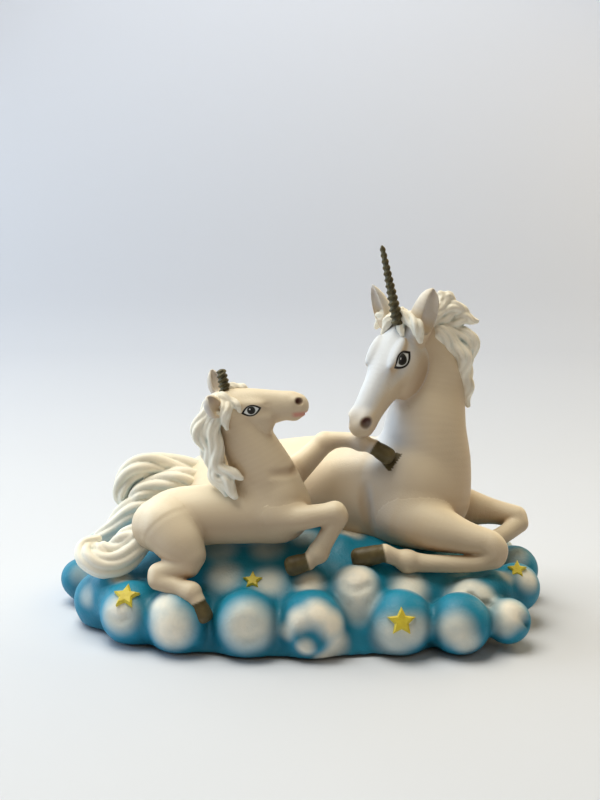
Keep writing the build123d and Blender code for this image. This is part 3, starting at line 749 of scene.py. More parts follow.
# %% Mare
mare_forms = {
    "mare_body": [
        roll(
            ((-50, 29, 40), 13), ((-37, 28, 43), 21), ((-14, 24, 45.5), 24),
            ((14, 16, 49), 25.5), ((38, 8, 50.5), 24.5), ((51, 3, 52), 20), blend=8,
        ),
        roll(
            ((54, 2, 52), 21, 0.9), ((56, 3, 65), 19.4, 0.88), ((55, 5, 80), 18.2, 0.84),
            ((57.5, 9.5, 93), 15.2, 0.88), ((59, 13, 108), 12.6, 0.90), ((53, 12.5, 120), 10, 0.95), blend=8,
        ),
        egg((46, -7, 52), (20, 13, 23), 4),
        groove(
            ((26.5, -15, 67), 1.2), ((27.5, -15.5, 58), 2.0), ((29, -16, 48), 2.2), ((31, -16, 40), 2.0),
            blend=2.5,
        ),
    ],
    "mare_head": mare_face + mare_ears,
    "mare_near_foreleg": leg(
        ([((45.6, -12, 46), 13), ((58, -20, 43.5), 10.2), ((69, -25, 41.2), 7.3), ((80, -28, 39.4), 5.6)], 4),
        ([((82, -29, 33), 4.8), ((72, -30, 30.8), 3.7), ((56, -31, 31.2), 3.8), ((48, -31.5, 32), 4.2)], 0.8),
        fetlock=(45.0, -32, 32.4), coronet=(35.5, -33, 36.6), sole=(21.6, -33.6, 33.8), radii=(3.9, 4.5),
        knees=[((82.4, -29, 36.2), (5.9, 5.4, 6.6)), ((45.2, -32, 32.6), (4.2, 4.6, 5.0))],
    ),
    "mare_off_foreleg": leg(
        ([((70, 17, 42), 10), ((86, 15, 40), 6.0), ((97.5, 11.5, 38.4), 5.0)], 5),
        ([((98.5, 9.5, 36), 4.5), ((91, 3, 32.8), 4.0), ((82, -3, 30), 4.5)], 1.2),
        fetlock=(82, -3, 30), coronet=(76, -5.8, 28.6), sole=(68.5, -9, 27), radii=(4.1, 5.0),
    ),
    "mare_near_hindleg": leg(
        ([((-36, 12, 42), 15), ((-24, 6, 39), 13), ((-11, 3, 37), 9)], 8),
        ([((-12, 2, 33), 7), ((-28, 0, 32), 6.6), ((-43, 0, 30.5), 5.8)], 3),
        ([((-43, -2, 28.5), 4.8), ((-30, -4, 28.5), 4.5), ((-19, -5, 29), 4.9)], 2),
        fetlock=(-19, -5, 29), coronet=(-13, -5.5, 29.4), sole=(-5, -6, 30), radii=(4.2, 5.3),
    ),
    "mare_off_hindleg": leg(
        ([((-37, 42, 40), 14.5), ((-24, 46, 36), 12.5), ((-11, 47, 33), 8.6)], 8),
        ([((-12, 48, 29.5), 6.8), ((-28, 50, 29), 6.4), ((-44, 50, 27), 5.8)], 3),
        ([((-44, 52, 25), 4.8), ((-31, 53, 25), 4.5), ((-20, 53, 25), 4.9)], 2),
        fetlock=(-20, 53, 25), coronet=(-14, 53, 25.2), sole=(-6, 53, 25.6), radii=(4.2, 5.3),
    ),
}
print("mare:", {name: len(forms) for name, forms in mare_forms.items()})

# %% [markdown]
# The foal is built the same way at two thirds of the size. One foreleg is bent with its hoof on the cloud.
# The other reaches up to the mare's breast, so its hoof just touches there.

# %% Foal
foal_forms = {
    "foal_body": [
        roll(
            ((-60, -26, 46.5), 11.4), ((-51, -26, 49.5), 13.2), ((-41, -26, 51), 12.8),
            ((-31, -26, 51.6), 12.6), ((-21, -26, 52), 12.8), ((-10, -26, 53), 12.4), blend=5,
        ),
        roll(
            ((-9, -25, 54), 13.6, 0.95), ((-13.8, -25, 66), 13.4, 0.88), ((-20, -24, 79), 11.6, 0.88),
            ((-25, -23, 90), 9.8, 0.90), blend=6,
        ),
        egg((-9, -27, 60), (10.2, 11, 10.5), 1.2),
        groove(((-1.4, -25, 71.2), 1.1), ((-4.2, -32.4, 71.6), 1.2), ((-11, -36.6, 72), 0.9), blend=2.5),
    ],
    "foal_head": foal_face + foal_ears,
    "foal_near_foreleg": leg(
        ([((-11, -32, 53), 8), ((-1, -36.5, 53.2), 5.6), ((9, -38, 55), 4.6), ((14.4, -38, 56), 4.9)], 3),
        ([((15.6, -38, 54), 4.5), ((11.8, -38, 46.4), 3.9), ((7.6, -38, 38.4), 4.2)], 1.2),
        fetlock=(7.6, -38, 38.4), coronet=(3.2, -38.8, 34.8), sole=(-6.2, -39.5, 32.2), radii=(3.8, 4.4),
    ),
    "foal_raised_foreleg": leg(
        ([((-6, -15, 64), 7), ((2.0, -12.2, 70.6), 5.4), ((9.6, -9, 77.6), 4.6)], 3),
        ([((11, -9, 79), 4.2), ((19, -9.5, 79.8), 3.3), ((26, -11, 79.2), 3.7)], 2),
        fetlock=(26.5, -11, 79), coronet=(31.8, -12.4, 77.2), sole=(40.0, -15.2, 72.4), radii=(3.4, 3.9),
    ),
    "foal_near_hindleg": leg(
        ([((-55, -33, 48.5), 12.2), ((-50.5, -38, 43.5), 10.2), ((-46.4, -41, 38.6), 7.4)], 2.5),
        ([((-47, -42.5, 34.8), 5.8), ((-53, -43.5, 33), 5.1), ((-58.4, -44, 31.4), 4.7)], 1.0),
        ([((-58.8, -45.6, 29.2), 4.2), ((-51.5, -48, 27.4), 3.9), ((-45, -50.2, 25.4), 4.5)], 1.2),
        fetlock=(-45, -50.2, 25.4), coronet=(-42.4, -52, 22), sole=(-38.8, -54, 13.8), radii=(3.8, 4.6),
    ),
    "foal_off_hindleg": leg(
        ([((-54, -18, 46), 11.5), ((-48, -14, 41), 10), ((-42, -13, 37), 7)], 6),
        ([((-43, -13, 34.6), 5.6), ((-52, -13, 33), 5.4), ((-60, -13, 31.4), 5)], 2.5),
        ([((-60, -12, 29.4), 4.4), ((-53, -12, 29), 4.2), ((-47, -12, 29), 4.6)], 2),
        fetlock=(-47, -12, 29), coronet=(-42, -12, 29), sole=(-35.5, -12, 29), radii=(3.9, 4.8),
    ),
}
print("foal:", {name: len(forms) for name, forms in foal_forms.items()})

# %% [markdown]
# ## Casting the animals
# One clay animal is cut into its castings along the lines where two of them are equally near. The bodies
# lie under their neighbours there and are a hair smaller near the line, which leaves the fine seam that
# glue leaves. The masks that every casting needs, for its creases and its hooves, are worked out at the
# same time.

# %% Cut an animal into castings
SEAM_DEPTH, SEAM_WIDTH = 0.06, 0.4  # millimetres
UNDERLAP, OVERLAP = 1.0, 0.2  # how far a casting runs past the seam, below and above
CORONET_EDGE = 0.6


def hoof_mask(points):
    """1 on the hooves, beyond the coronets."""
    total = np.zeros(len(points))
    for coronet, sole, radius in HOOVES:
        way = sole - coronet
        length = np.linalg.norm(way)
        t = (points - coronet) @ way / length
        off = np.linalg.norm(points - coronet - np.outer(t, way / length), axis=1)
        beyond = np.clip((t + CORONET_EDGE / 2) / CORONET_EDGE, 0, 1)
        total = np.maximum(total, beyond * (off < radius * 1.35) * (t < length + 1.5))
    return total


def cast(forms, name, step, material, masks):
    """One casting of an animal with its paint masks."""
    block = block_round([form for form in forms[name] if not form.get("dig")], 2, step)
    for group, group_forms in forms.items():
        for form in group_forms:
            block.press(form, group == name)
    seam = 0.5 * (block.own - block.others)
    if name.endswith("body"):
        sunk = SEAM_DEPTH * np.clip((seam + SEAM_WIDTH) / SEAM_WIDTH, 0, 1)
        field = np.maximum(block.skin + sunk, seam - UNDERLAP)
    else:
        field = np.maximum(block.skin, seam - OVERLAP)
    points, quads = skin_of(block, field)
    normals = normals_of(points, quads)
    painted = {"cavity": cavities(block, points, normals), "hoof": hoof_mask(points)}
    painted.update(masks(points, normals))
    return add_piece(name + "_cast", points, quads, painted, material, [name])


print("hooves to paint:", len(HOOVES))

# %% [markdown]
# The eye frames below sit on the finished skin. Their x axis runs from the inner to the outer corner, and
# the same eye is mirrored for the other side of the head.

# %% Eye frames
def eye_frame(head, place, towards, outward, side):
    """A matrix whose x runs along the eye, y up and z out of the head, mirrored on the far side."""
    turn = np.array([1, side, 1])
    out = Vector(np.array(outward) * turn @ head.axes).normalized()
    along = Vector(np.array(towards) * turn @ head.axes) * side
    along = (along - out * along.dot(out)).normalized()
    matrix = Matrix.Identity(4)
    for column, axis in enumerate((along, out.cross(along), out)):
        matrix.col[column][:3] = axis
    matrix.translation = Vector(head.at(*(np.array(place) * turn)))
    return matrix


def eyes_of(head, face, towards, outward, *halves):
    """Both eyes of a head: their frames, half lengths and half heights."""
    return [(eye_frame(head, face["eye"], towards, outward, side), *halves) for side in (1, -1)]


mare_eyes = eyes_of(mare_head, MARE_FACE, (-1.0, 0.0, -0.38), (0.05, 0.86, 0.50), 4.2, 2.6)
foal_eyes = eyes_of(foal_head, FOAL_FACE, (-1.0, 0.0, -0.30), (0.05, 0.97, 0.20), 3.2, 1.75)
mare_face_paint = resin("mare_face_paint", mare_eyes)
foal_face_paint = resin("foal_face_paint", foal_eyes)
print("eyes:", len(mare_eyes) + len(foal_eyes))

# %% [markdown]
# The faces have dark nostrils, pink lips, painted shade in brown on the cheeks and where the skin looks down,
# and a painted cool light in bluish white down the front of the mare's face; the same white pales the ears. The
# bodies have painted shade in brown where the skin looks down or to the side, and a painted cool light on the
# left side of the mare's breast. All of it follows from where a point lies and which way its skin looks.

# %% Face and body masks
# Where the painted cool light lies on the mare's breast.
BREAST, BREAST_RADII = np.array([37, -8, 78]), np.array([19, 32, 36])


def face_masks(head, face, lips, cool, cheek_shade):
    """Nostrils, lips, painted shade, painted cool light and paler ears of one head."""
    nx, ny, nz = face["nostril"]

    def masks(points, normals):
        x, y, z = head.local(points).T
        side = (abs(y) - ny - 0.01) / 0.045
        nostril = np.sqrt(((x - nx) / 0.048) ** 2 + side**2 + ((z - nz) / 0.040) ** 2)
        mouth = np.clip(1.4 - abs(z - face["mouth"]) / 0.032, 0, 1) * np.clip((x - 0.84) / 0.05, 0, 1)
        cheek = np.clip(1.3 - np.sqrt(((x - 0.36) / 0.28) ** 2 + ((z + 0.30) / 0.20) ** 2), 0, 1)
        front = np.clip((normals @ head.brow - 0.25) / 0.5, 0, 1)
        front = front * np.clip((x - 0.05) / 0.1, 0, 1) * np.clip((1.0 - x) / 0.2, 0, 1)
        ears = np.clip((0.03 - x) / 0.06, 0, 1)
        # Painted shade: brown on the cheek and where the skin looks down, less under the painted cool light.
        below = 0.55 * np.clip((0.65 - normals[:, 2]) / 0.9, 0, 1)
        return {
            "dark": np.clip(1.8 * (1.2 - nostril), 0, 1),
            "lips": mouth * lips,
            "blush": np.maximum(cheek_shade * cheek, below) * (1 - front * cool),
            # Painted cool light down the face's front, and a paler white on the ears.
            "cool": np.maximum(front * cool, 0.45 * ears),
        }

    return masks


def body_masks(points, normals):
    """Painted shade in brown where the skin looks down or aside, and painted cool light on the left of the
    mare's breast.
    """
    breast = np.clip(1.3 - np.linalg.norm((points - BREAST) / BREAST_RADII, axis=1), 0, 1)
    return {
        "blush": 0.7 * np.clip((0.75 - normals[:, 2]) / 0.9, 0, 1),
        "cool": breast * np.clip(0.2 - normals[:, 0], 0, 1),
    }


mare_face_masks = face_masks(mare_head, MARE_FACE, lips=0.2, cool=0.9, cheek_shade=0.9)
foal_face_masks = face_masks(foal_head, FOAL_FACE, lips=0.9, cool=0.0, cheek_shade=0.5)
print("masks ready")

# %% [markdown]
# Now both animals are cast. The heads need the finest grid, for their nostrils and mouths. The mare's body
# is large and smooth, so a coarser grid is enough there and keeps the mesh light.

# %% Cast both animals
STEPS = {"mare_head": 0.45, "foal_head": 0.45, "mare_body": 0.7}  # millimetres
PLAIN_STEP = 0.6
FACES = {"mare_head": (mare_face_paint, mare_face_masks), "foal_head": (foal_face_paint, foal_face_masks)}

for forms in (mare_forms, foal_forms):
    for name in forms:
        piece = cast(forms, name, STEPS.get(name, PLAIN_STEP), *FACES.get(name, (ivory, body_masks)))
        print(piece.name, len(piece.data.polygons), "quads")

# %% [markdown]
# ## Manes and tails
# Sculpted hair is not single hairs. It is locks that swell, wave and come to a point, each scored with
# grooves. A lock here is a bundle of strands that run side by side along one path with a slow turn, so the
# grooves are real geometry. Hair curves would look finer than the object does.

# %% Locks of hair
CORE = 0.66  # the lock's core, as a share of its radius
STRAND_LIFT, STRAND_SWELL = 0.64, 0.10  # how far out the strands run, and how much that changes
STRAND_SHARE, STRAND_LEAST = 0.36, 0.12  # a strand's radius: a share of the lock's, and millimetres
STRAND_SHIFT = 0.37
LOCK_TURNS = 0.5


def lock(*stations, strands=6, wave=0.25, waves=1.4, phase=0.0):
    """The strands of one wavy lock along (place, radius) stations."""
    rows = smooth_path(stations, 6)
    share = np.linspace(0, 1, len(rows))
    ways = np.gradient(rows[:, :3], axis=0)
    ways /= np.maximum(np.linalg.norm(ways, axis=1, keepdims=True), 1e-6)
    across = np.cross(ways[0], (0.3, 0.8, 0.5))
    frames = []
    for way in ways:
        across = across - way * (across @ way)
        across /= max(np.linalg.norm(across), 1e-6)
        frames.append((across, np.cross(way, across)))
    first, second = np.array([f[0] for f in frames]), np.array([f[1] for f in frames])
    size = rows[:, 3:4]
    sway = np.sin(2 * math.pi * (waves * share + phase))[:, None] * np.sin(math.pi * share)[:, None]
    rows[:, :3] += wave * size * sway * first
    no_side = np.zeros(3, np.float32)
    forms = [{"rows": rows * np.array([1, 1, 1, CORE, 1], dtype=np.float32), "blend": 1.0, "side": no_side}]
    for index in range(strands):
        turn = (2 * math.pi * (phase + index / strands + LOCK_TURNS * share))[:, None]
        swell = np.sin(2 * math.pi * (waves * share + STRAND_SHIFT * index))[:, None]
        lift = STRAND_LIFT + STRAND_SWELL * swell
        strand = rows.copy()
        strand[:, :3] += lift * size * (np.cos(turn) * first + np.sin(turn) * second)
        strand[:, 3] = rows[:, 3] * STRAND_SHARE + STRAND_LEAST
        forms.append({"rows": strand, "blend": 0.3, "side": no_side})
    return forms


def comb(name, locks, node, step):
    """One casting of hair from its locks."""
    forms = [form for strands in locks for form in strands]
    block = block_round(forms, 1, step)
    for form in forms:
        block.press(form)
    points, quads = skin_of(block, block.skin)
    normals = normals_of(points, quads)
    masks = {"cavity": cavities(block, points, normals, 1.6), "hair": np.ones(len(points))}
    return add_piece(name, points, quads, masks, ivory, [node])


print("comb ready")

# %% [markdown]
# The mare's mane stands up behind the ears and falls along the crest and the far side of the neck, and the
# forelock parts round the horn. Each lock is listed from its root to its point. The phases differ, so that
# neighbours don't wave in step.

# %% Mare's mane
MANE_STEP = 0.5
mare_locks = [
    lock(
        ((55.5, 9, 126.5), 3.4), ((60, 11, 134), 3.4), ((64, 12, 138.6), 2.6), ((67.5, 12.5, 137), 0.9),
        wave=0.4,
    ),
    lock(
        ((58, 10, 127), 3.6), ((61.5, 11, 134), 3.2), ((62.5, 11.5, 138.6), 2.2),
        ((60.5, 11.5, 140.6), 0.9), wave=0.3, phase=0.2,
    ),
    lock(
        ((58, 11, 126), 4.4), ((65, 12, 131), 4.2), ((70, 12.5, 133), 3.2), ((73.6, 13, 131.4), 1.0),
        wave=0.4, phase=0.6,
    ),
    lock(
        ((58, 12, 124), 4.2), ((66, 12, 127.4), 4.2), ((72, 13, 128.4), 3.4), ((78, 13.5, 127.4), 1.0),
        wave=0.4, phase=0.3,
    ),
    lock(
        ((61, 11, 124), 4.6), ((70, 11.5, 121.5), 4.6), ((74.2, 12, 114), 4.0), ((73.5, 12, 106), 3.0),
        ((74.5, 11, 99), 1.2), wave=0.5, waves=2, phase=0.5,
    ),
    lock(
        ((65, 9.5, 118), 4.2), ((71.5, 9.5, 111.5), 4.2), ((73.3, 9.5, 103), 3.4), ((73.3, 9.5, 96), 2.4),
        ((74.3, 9.5, 90), 1.0), wave=0.5, waves=2, phase=0.9,
    ),
    lock(
        ((60.5, 7, 124), 3.6), ((67, 7, 119.5), 3.9), ((70.6, 7, 111.5), 3.6), ((72.4, 8, 103.5), 3.0),
        ((73.4, 8.5, 96), 1.1), wave=0.5, waves=2, phase=0.3,
    ),
    lock(
        ((58, 17, 122), 4.8), ((63.5, 19.5, 114), 5), ((65.5, 20, 102), 4.6), ((64, 19, 90), 1.4),
        phase=0.2,
    ),
    lock(
        ((52, 16, 124), 4.4), ((54, 21, 116), 4.8), ((57, 22.5, 105), 4.4), ((60, 21, 94), 1.4), phase=0.6,
    ),
]
on_head = mare_head.at
mare_locks += [
    lock(
        (on_head(-0.01, -0.03, 0.035), 2.6), (on_head(0.02, -0.12, 0.03), 2.7),
        (on_head(0.05, -0.19, -0.005), 2.4), (on_head(0.10, -0.235, -0.05), 0.9), strands=5, wave=0.4,
    ),
    lock(
        ((44.5, 2.5, 132), 2.6), ((47.8, -1.5, 130.6), 3.0), ((50.2, -3.5, 126.6), 2.7),
        ((51.6, -4.6, 121.4), 1.0), strands=5, wave=0.4, phase=0.4,
    ),
    lock(
        (on_head(-0.02, 0.01, 0.04), 2.6), (on_head(0.06, 0.03, 0.055), 2.6),
        (on_head(0.12, 0.06, 0.045), 2.0), (on_head(0.18, 0.085, 0.02), 0.8), strands=5, wave=0.4,
        phase=0.7,
    ),
    lock(
        (on_head(-0.01, -0.03, 0.035), 2.4), (on_head(0.06, -0.05, 0.05), 2.4),
        (on_head(0.12, -0.09, 0.03), 1.8), (on_head(0.18, -0.11, 0.0), 0.7), strands=5, wave=0.4, phase=0.1,
    ),
]
mare_mane = comb("mare_mane", mare_locks, "mare_head", MANE_STEP)
print("mare's mane:", len(mare_locks), "locks,", len(mare_mane.data.polygons), "quads")

# %% [markdown]
# The foal's mane falls in long locks, most of them over the near side of the neck, and a short forelock
# falls beside the horn and in front of it.

# %% Foal's mane
foal_locks = [
    lock(
        ((-36.5, -26, 99), 3.8), ((-40, -27.5, 92), 4.0), ((-39.6, -28.5, 84), 3.8),
        ((-37.4, -29, 77), 3.2), ((-36.2, -29, 71), 1.2), wave=0.45, waves=2,
    ),
    lock(
        ((-34.5, -28.5, 96), 3.2), ((-36, -30.5, 88.5), 3.4), ((-35.6, -31, 81.5), 3.2),
        ((-33.4, -32, 75), 3.0), ((-27.5, -34.4, 71.5), 2.4), ((-23.8, -36, 70), 0.9), wave=0.4, waves=2,
        phase=0.5,
    ),
    lock(
        ((-36.5, -28, 80), 3.4), ((-35, -30.5, 73), 3.6), ((-31, -33.5, 67.5), 3.2),
        ((-26.5, -37, 62), 1.1), wave=0.45, waves=2, phase=0.8,
    ),
    lock(
        ((-37, -25.5, 84), 3.6), ((-37.5, -27, 76), 3.6), ((-34.5, -29.5, 69), 3.2),
        ((-30.5, -33.5, 62), 1.1), wave=0.45, waves=2, phase=0.4,
    ),
    lock(((-36, -20, 98), 4.2), ((-37.5, -18, 88), 4.2), ((-35.5, -17, 78), 3.6), ((-31, -17, 69), 1.3)),
    lock(
        ((-33, -27, 102), 2.6), ((-30.6, -30, 99), 2.6), ((-31, -31.6, 94.5), 2.2),
        ((-30.2, -31.8, 90), 0.9), strands=5, wave=0.4, phase=0.6,
    ),
    lock(
        ((-31.5, -21, 103), 2.6), ((-27.8, -20.4, 105), 2.6), ((-24.4, -21, 105.2), 2.2),
        ((-21.6, -22, 103.2), 0.9), strands=5, wave=0.3,
    ),
    lock(
        ((-34, -26.6, 102.4), 2.3), ((-29.6, -28.4, 101.8), 2.3), ((-26.2, -29.4, 99.6), 1.8),
        ((-24.6, -30.2, 97), 0.8), strands=5, wave=0.4, phase=0.2,
    ),
]
foal_mane = comb("foal_mane", foal_locks, "foal_head", MANE_STEP)
print("foal's mane:", len(foal_locks), "locks,", len(foal_mane.data.polygons), "quads")

# %% [markdown]
# The tails are the same locks, thicker, and swept down over the cloud. Each tail is a casting of its own.

# %% Tails
TAIL_STEP = 0.6
mare_tail = comb(
    "mare_tail_cast",
    [
        lock(
            ((-43, 26, 53), 6.6), ((-56, 24, 57.5), 6.6), ((-68, 22, 59), 6.4), ((-77, 20, 55), 5.8),
            ((-81, 18, 47), 4.8), ((-78, 17, 40), 2),
        ),
        lock(
            ((-44, 21, 51), 6), ((-54.5, 17, 53), 6), ((-64, 15, 53), 5.6), ((-72, 14, 48.5), 4.8),
            ((-77, 14, 41), 2), phase=0.5,
        ),
        lock(
            ((-58, 15, 46), 6), ((-69, 14, 44), 6.2), ((-78, 12, 38.5), 5.6), ((-87, 11, 31), 4.4),
            ((-95, 12, 24), 1.8), phase=0.2,
        ),
    ],
    "mare_tail", TAIL_STEP,
)
foal_tail = comb(
    "foal_tail_cast",
    [
        lock(
            ((-66, -25, 41), 5.2), ((-75.6, -29, 33), 5.6), ((-84, -31, 29.8), 5.4),
            ((-91, -28, 31.5), 4.8), ((-92, -22, 35.5), 4), ((-86.5, -18, 38), 1.8),
        ),
        lock(
            ((-67, -22, 42.5), 5), ((-76, -24, 36.5), 5.4), ((-83, -25, 34.4), 5),
            ((-87.4, -23, 35.8), 2.4), phase=0.5,
        ),
    ],
    "foal_tail", TAIL_STEP,
)
print("tail quads:", len(mare_tail.data.polygons), len(foal_tail.data.polygons))

# %% [markdown]
# ## The cloud
# The cloud is a low mound with round puffs along its edge. It is the same clay as the animals, with a small
# blend so that the valleys between puffs stay narrow. It is cut flat below, where the felt lies.

# %% Puffs
FRONT_PUFFS = [  # x, y, z and radius, from the left end along the front to the right end
    (-99, 6, 11, 9), (-86, -20, 11, 12), (-70.6, -38.5, 12, 13.6), (-50, -47, 12, 14.2),
    (-21.8, -51, 12, 14.2), (5, -51.5, 12, 14.5), (41.5, -49.5, 12, 14), (66, -50.5, 12, 13),
    (86.5, -45.5, 11.2, 9.6), (93.5, -18, 15.5, 10.8), (97, 9, 14, 11),
]
UPPER_PUFFS = [  # the second row, between the animals and the front edge
    (-92, 23, 15, 11.5), (-80, -27, 16, 10.5), (24, -39, 21, 12), (46, -33, 16.5, 10.3), (73, -34, 14, 11.5),
    (4, -35, 23, 6.4), (18, -18, 31, 8.5), (82, -27, 17, 9.5),
]
CLOUD_HALF_LENGTH, CLOUD_HALF_DEPTH = 108, 66
BACK_COUNT, BACK_HEIGHT, BACK_RADII = 11, 12, (14, 16, 13)
BACK_FIRST, BACK_SWEEP = 22, 136  # degrees
BACK_SQUARENESS = 0.7
BACK_PUFFS = []
for index in range(BACK_COUNT):
    turn = math.radians(BACK_FIRST + BACK_SWEEP * index / (BACK_COUNT - 1))
    radius = BACK_RADII[index % len(BACK_RADII)]
    back_x = (CLOUD_HALF_LENGTH - radius) * math.cos(turn)
    back_y = (CLOUD_HALF_DEPTH - radius) * math.sin(turn) ** BACK_SQUARENESS
    BACK_PUFFS.append((back_x, back_y, BACK_HEIGHT, radius))
PUFFS = FRONT_PUFFS + UPPER_PUFFS + BACK_PUFFS
print("puffs:", len(PUFFS))

# %% [markdown]
# The mound under the puffs is a stack of ovals that get smaller upwards. The puffs are pressed onto it, and
# a few bent grooves and hollows are dug out of the front ones.

# %% Cloud clay
FELT_THICKNESS = 1.0
CLOUD_TOP, CLOUD_STEP, PUFF_BLEND = 44, 1.0, 4.0
MOUND_SLOPE = 0.75  # keeps the mound's distances from being too long on its slopes
MOUND = [  # height, middle along x, half length and half depth
    (1, 0, 100, 60), (10, 0, 98, 56), (18, 0, 93, 50.5), (26, -1, 84, 42),
    (32, -3, 72, 33.5), (36, -8, 58, 25.5), (39, -12, 40, 16.5), (40.6, -12, 18, 7.5),
]
SWIRLS = [
    groove(((16, -47, 29), 0.9), ((22.5, -50, 26.5), 1.2), ((29, -48, 28), 0.9), blend=2.5),
    groove(((71, -42.5, 21.5), 0.9), ((74, -45, 18.5), 1.2), ((78.5, -44, 18), 0.9), blend=2.5),
    groove(((89, -53.5, 19), 0.8), ((91.5, -53, 15.5), 1.0), ((93.5, -50, 11.5), 0.8), blend=2.5),
    groove(((-79, -50, 14.5), 0.8), ((-75, -51.5, 13.5), 1.1), ((-70.5, -51.5, 15), 0.8), blend=2.5),
    egg((3.5, -67.5, 13.5), (5.0, 4.0, 5.0), 4, dig=True),
    egg((-21, -67, 17), (6.0, 3.0, 4.0), 5, dig=True),
]

cloud = Block(
    (-CLOUD_HALF_LENGTH, -CLOUD_HALF_DEPTH, 0), (CLOUD_HALF_LENGTH, CLOUD_HALF_DEPTH, CLOUD_TOP), CLOUD_STEP
)
x, y, z = cloud.axes[0][:, None, None], cloud.axes[1][None, :, None], cloud.axes[2][None, None, :]
heights, *sizes = np.array(MOUND, float).T
middle, long, deep = (np.interp(cloud.axes[2], heights, size)[None, None, :] for size in sizes)
oval = np.sqrt(((x - middle) / long) ** 2 + (y / deep) ** 2)
slope = (oval - 1) * np.minimum(long, deep) * MOUND_SLOPE
cloud.skin = np.maximum(slope, z - heights[-1]).astype(np.float32)
for *place, radius in PUFFS:
    cloud.press(egg(place, (radius,) * 3, PUFF_BLEND))
for form in SWIRLS:
    cloud.press(form)
cloud_points, cloud_quads = skin_of(cloud, np.maximum(cloud.skin, FELT_THICKNESS - z))
cloud_normals = normals_of(cloud_points, cloud_quads)
print("cloud quads:", len(cloud_quads))

# %% [markdown]
# The cloud is sprayed blue and then dabbed with white, so each puff fades from a cream centre to blue in the
# valleys. The dabs are soft round spots, placed where they show most. The back gets one on each puff, by rule.

# %% White dabs
DABS = [  # place, radius and strength of each spot on the front
    ((-75, -50, 16), 10, 0.95), ((-90, -30, 16), 6, 0.45), ((-76, -31, 25), 6, 0.80), ((-57, -54, 22), 8, 0.85),
    ((-53, -60, 14), 12, 1.00), ((-21, -64, 16), 14, 0.85), ((-32, -37, 28), 9, 0.65), ((-13, -41, 27), 9, 0.65),
    ((-34, -24, 35), 9, 0.40), ((-14, -25, 36), 9, 0.45), ((2, -17, 39), 8, 0.45), ((4, -42, 26), 7.5, 0.95),
    ((-6, -62, 13), 5, 0.60), ((-1, -63, 19), 7, 0.90), ((7, -62, 21), 8, 1.00), ((14, -62, 16), 8, 1.00),
    ((15, -60, 7), 7, 0.95), ((10, -60, 2), 6, 0.90), ((2, -65, 7), 5, 0.90), ((23, -45, 31), 11, 1.00),
    ((24, -50, 25), 10, 0.80), ((24, -50, 18), 8, 0.50), ((46, -40, 24), 10, 0.85), ((69, -40, 23), 10, 0.90),
    ((76, -43, 21), 8.5, 0.90), ((38, -62, 11), 12, 0.65), ((47, -62, 14), 9, 0.55), ((63, -63, 14), 10, 0.80),
    ((68, -61, 8), 7, 0.55), ((87, -52, 18), 9, 1.00), ((84, -54, 12), 6, 0.50), ((98, -25, 22), 7, 0.85),
    ((22, -12, 38), 7, 0.95), ((88, -27, 24), 5, 0.55), ((-98, -1, 15), 6, 0.35), ((-90, 15, 23), 7, 0.60),
    ((97, 2, 23), 7, 0.50),
]
BACK_DAB_STRENGTH = 0.75
DAB_SPREAD, DAB_STEEPNESS = 1.16, 1.05
VALLEY_REACH = 5.0  # millimetres
VALLEY_BARE = 0.6  # how much of the white stays out of the valleys

for px, py, pz, radius in BACK_PUFFS:
    outward = np.array([px * 0.5, py, 45.0])
    place = np.array([px, py, pz]) + radius * outward / np.linalg.norm(outward)
    DABS.append((place, radius, BACK_DAB_STRENGTH))
bare = np.ones(len(cloud_points))
for place, radius, strength in DABS:
    away = np.linalg.norm(cloud_points - np.array(place), axis=1) / radius
    near = np.clip(DAB_STEEPNESS * (DAB_SPREAD - away), 0, 1)
    bare *= 1 - strength * near * near * (3 - 2 * near)
dabs = 1 - bare
valley = cavities(cloud, cloud_points, cloud_normals, VALLEY_REACH)
cloud_masks = {"dab": dabs * (1 - VALLEY_BARE * valley), "cavity": valley}
print("dabs:", len(DABS), "share of white:", round(float(dabs.mean()), 2))

# %% [markdown]
# The shader lays a mottled blue first, a darker blue in the valleys as painted shade, and the white dabs last.
# Soft noise makes the blue and the white uneven, as sprayed paint is.

# %% Cloud paint
SKY_BLUE = (0.006, 0.280, 0.460, 1)
DEEP_BLUE = (0.003, 0.130, 0.210, 1)
# Painted shade in the valleys between puffs.
VALLEY_SHADE_BLUE = (0.003, 0.070, 0.100, 1)
DAB_WHITE = (1.0, 0.95, 0.82, 1)


def cloud_paint(tree, shader):
    """Blue spray with painted shade in the valleys and white dabs."""
    white = maths(tree, "MULTIPLY", mask(tree, "dab"), mottle(tree, 120, 0.85, 1.1), clamp=True)
    colour = tinted(tree, mottle(tree, 70, 0.0, 0.35), SKY_BLUE, DEEP_BLUE)
    colour = tinted(tree, mask(tree, "cavity"), colour, VALLEY_SHADE_BLUE)
    colour = tinted(tree, white, colour, DAB_WHITE)
    tree.links.new(colour, shader.inputs["Base Color"])
    tree.links.new(mottle(tree, 300, 0.42, 0.58), shader.inputs["Roughness"])
    tree.links.new(bumps(tree, 900, 0.00008), shader.inputs["Normal"])
    shader.inputs["Specular IOR Level"].default_value = 0.4


blue_and_white = finish("cloud_paint", cloud_paint)
cloud_piece = add_piece(
    "cloud_cast", cloud_points, cloud_quads, cloud_masks, blue_and_white, ["cloud_base"]
)
print(cloud_piece.name, "painted with", blue_and_white.name)

# %% [markdown]
# ## Horns
# A horn is a bar of oval section that is twisted as it tapers, so two ridges climb round it. That follows a
# rule, so Geometry Nodes make it: a straight curve gets a tilt and a radius that change along it, and Curve
# to Mesh sweeps the oval. One tree makes both horns from its named inputs. The helpers here start such a
# tree and turn what it makes into a plain mesh.

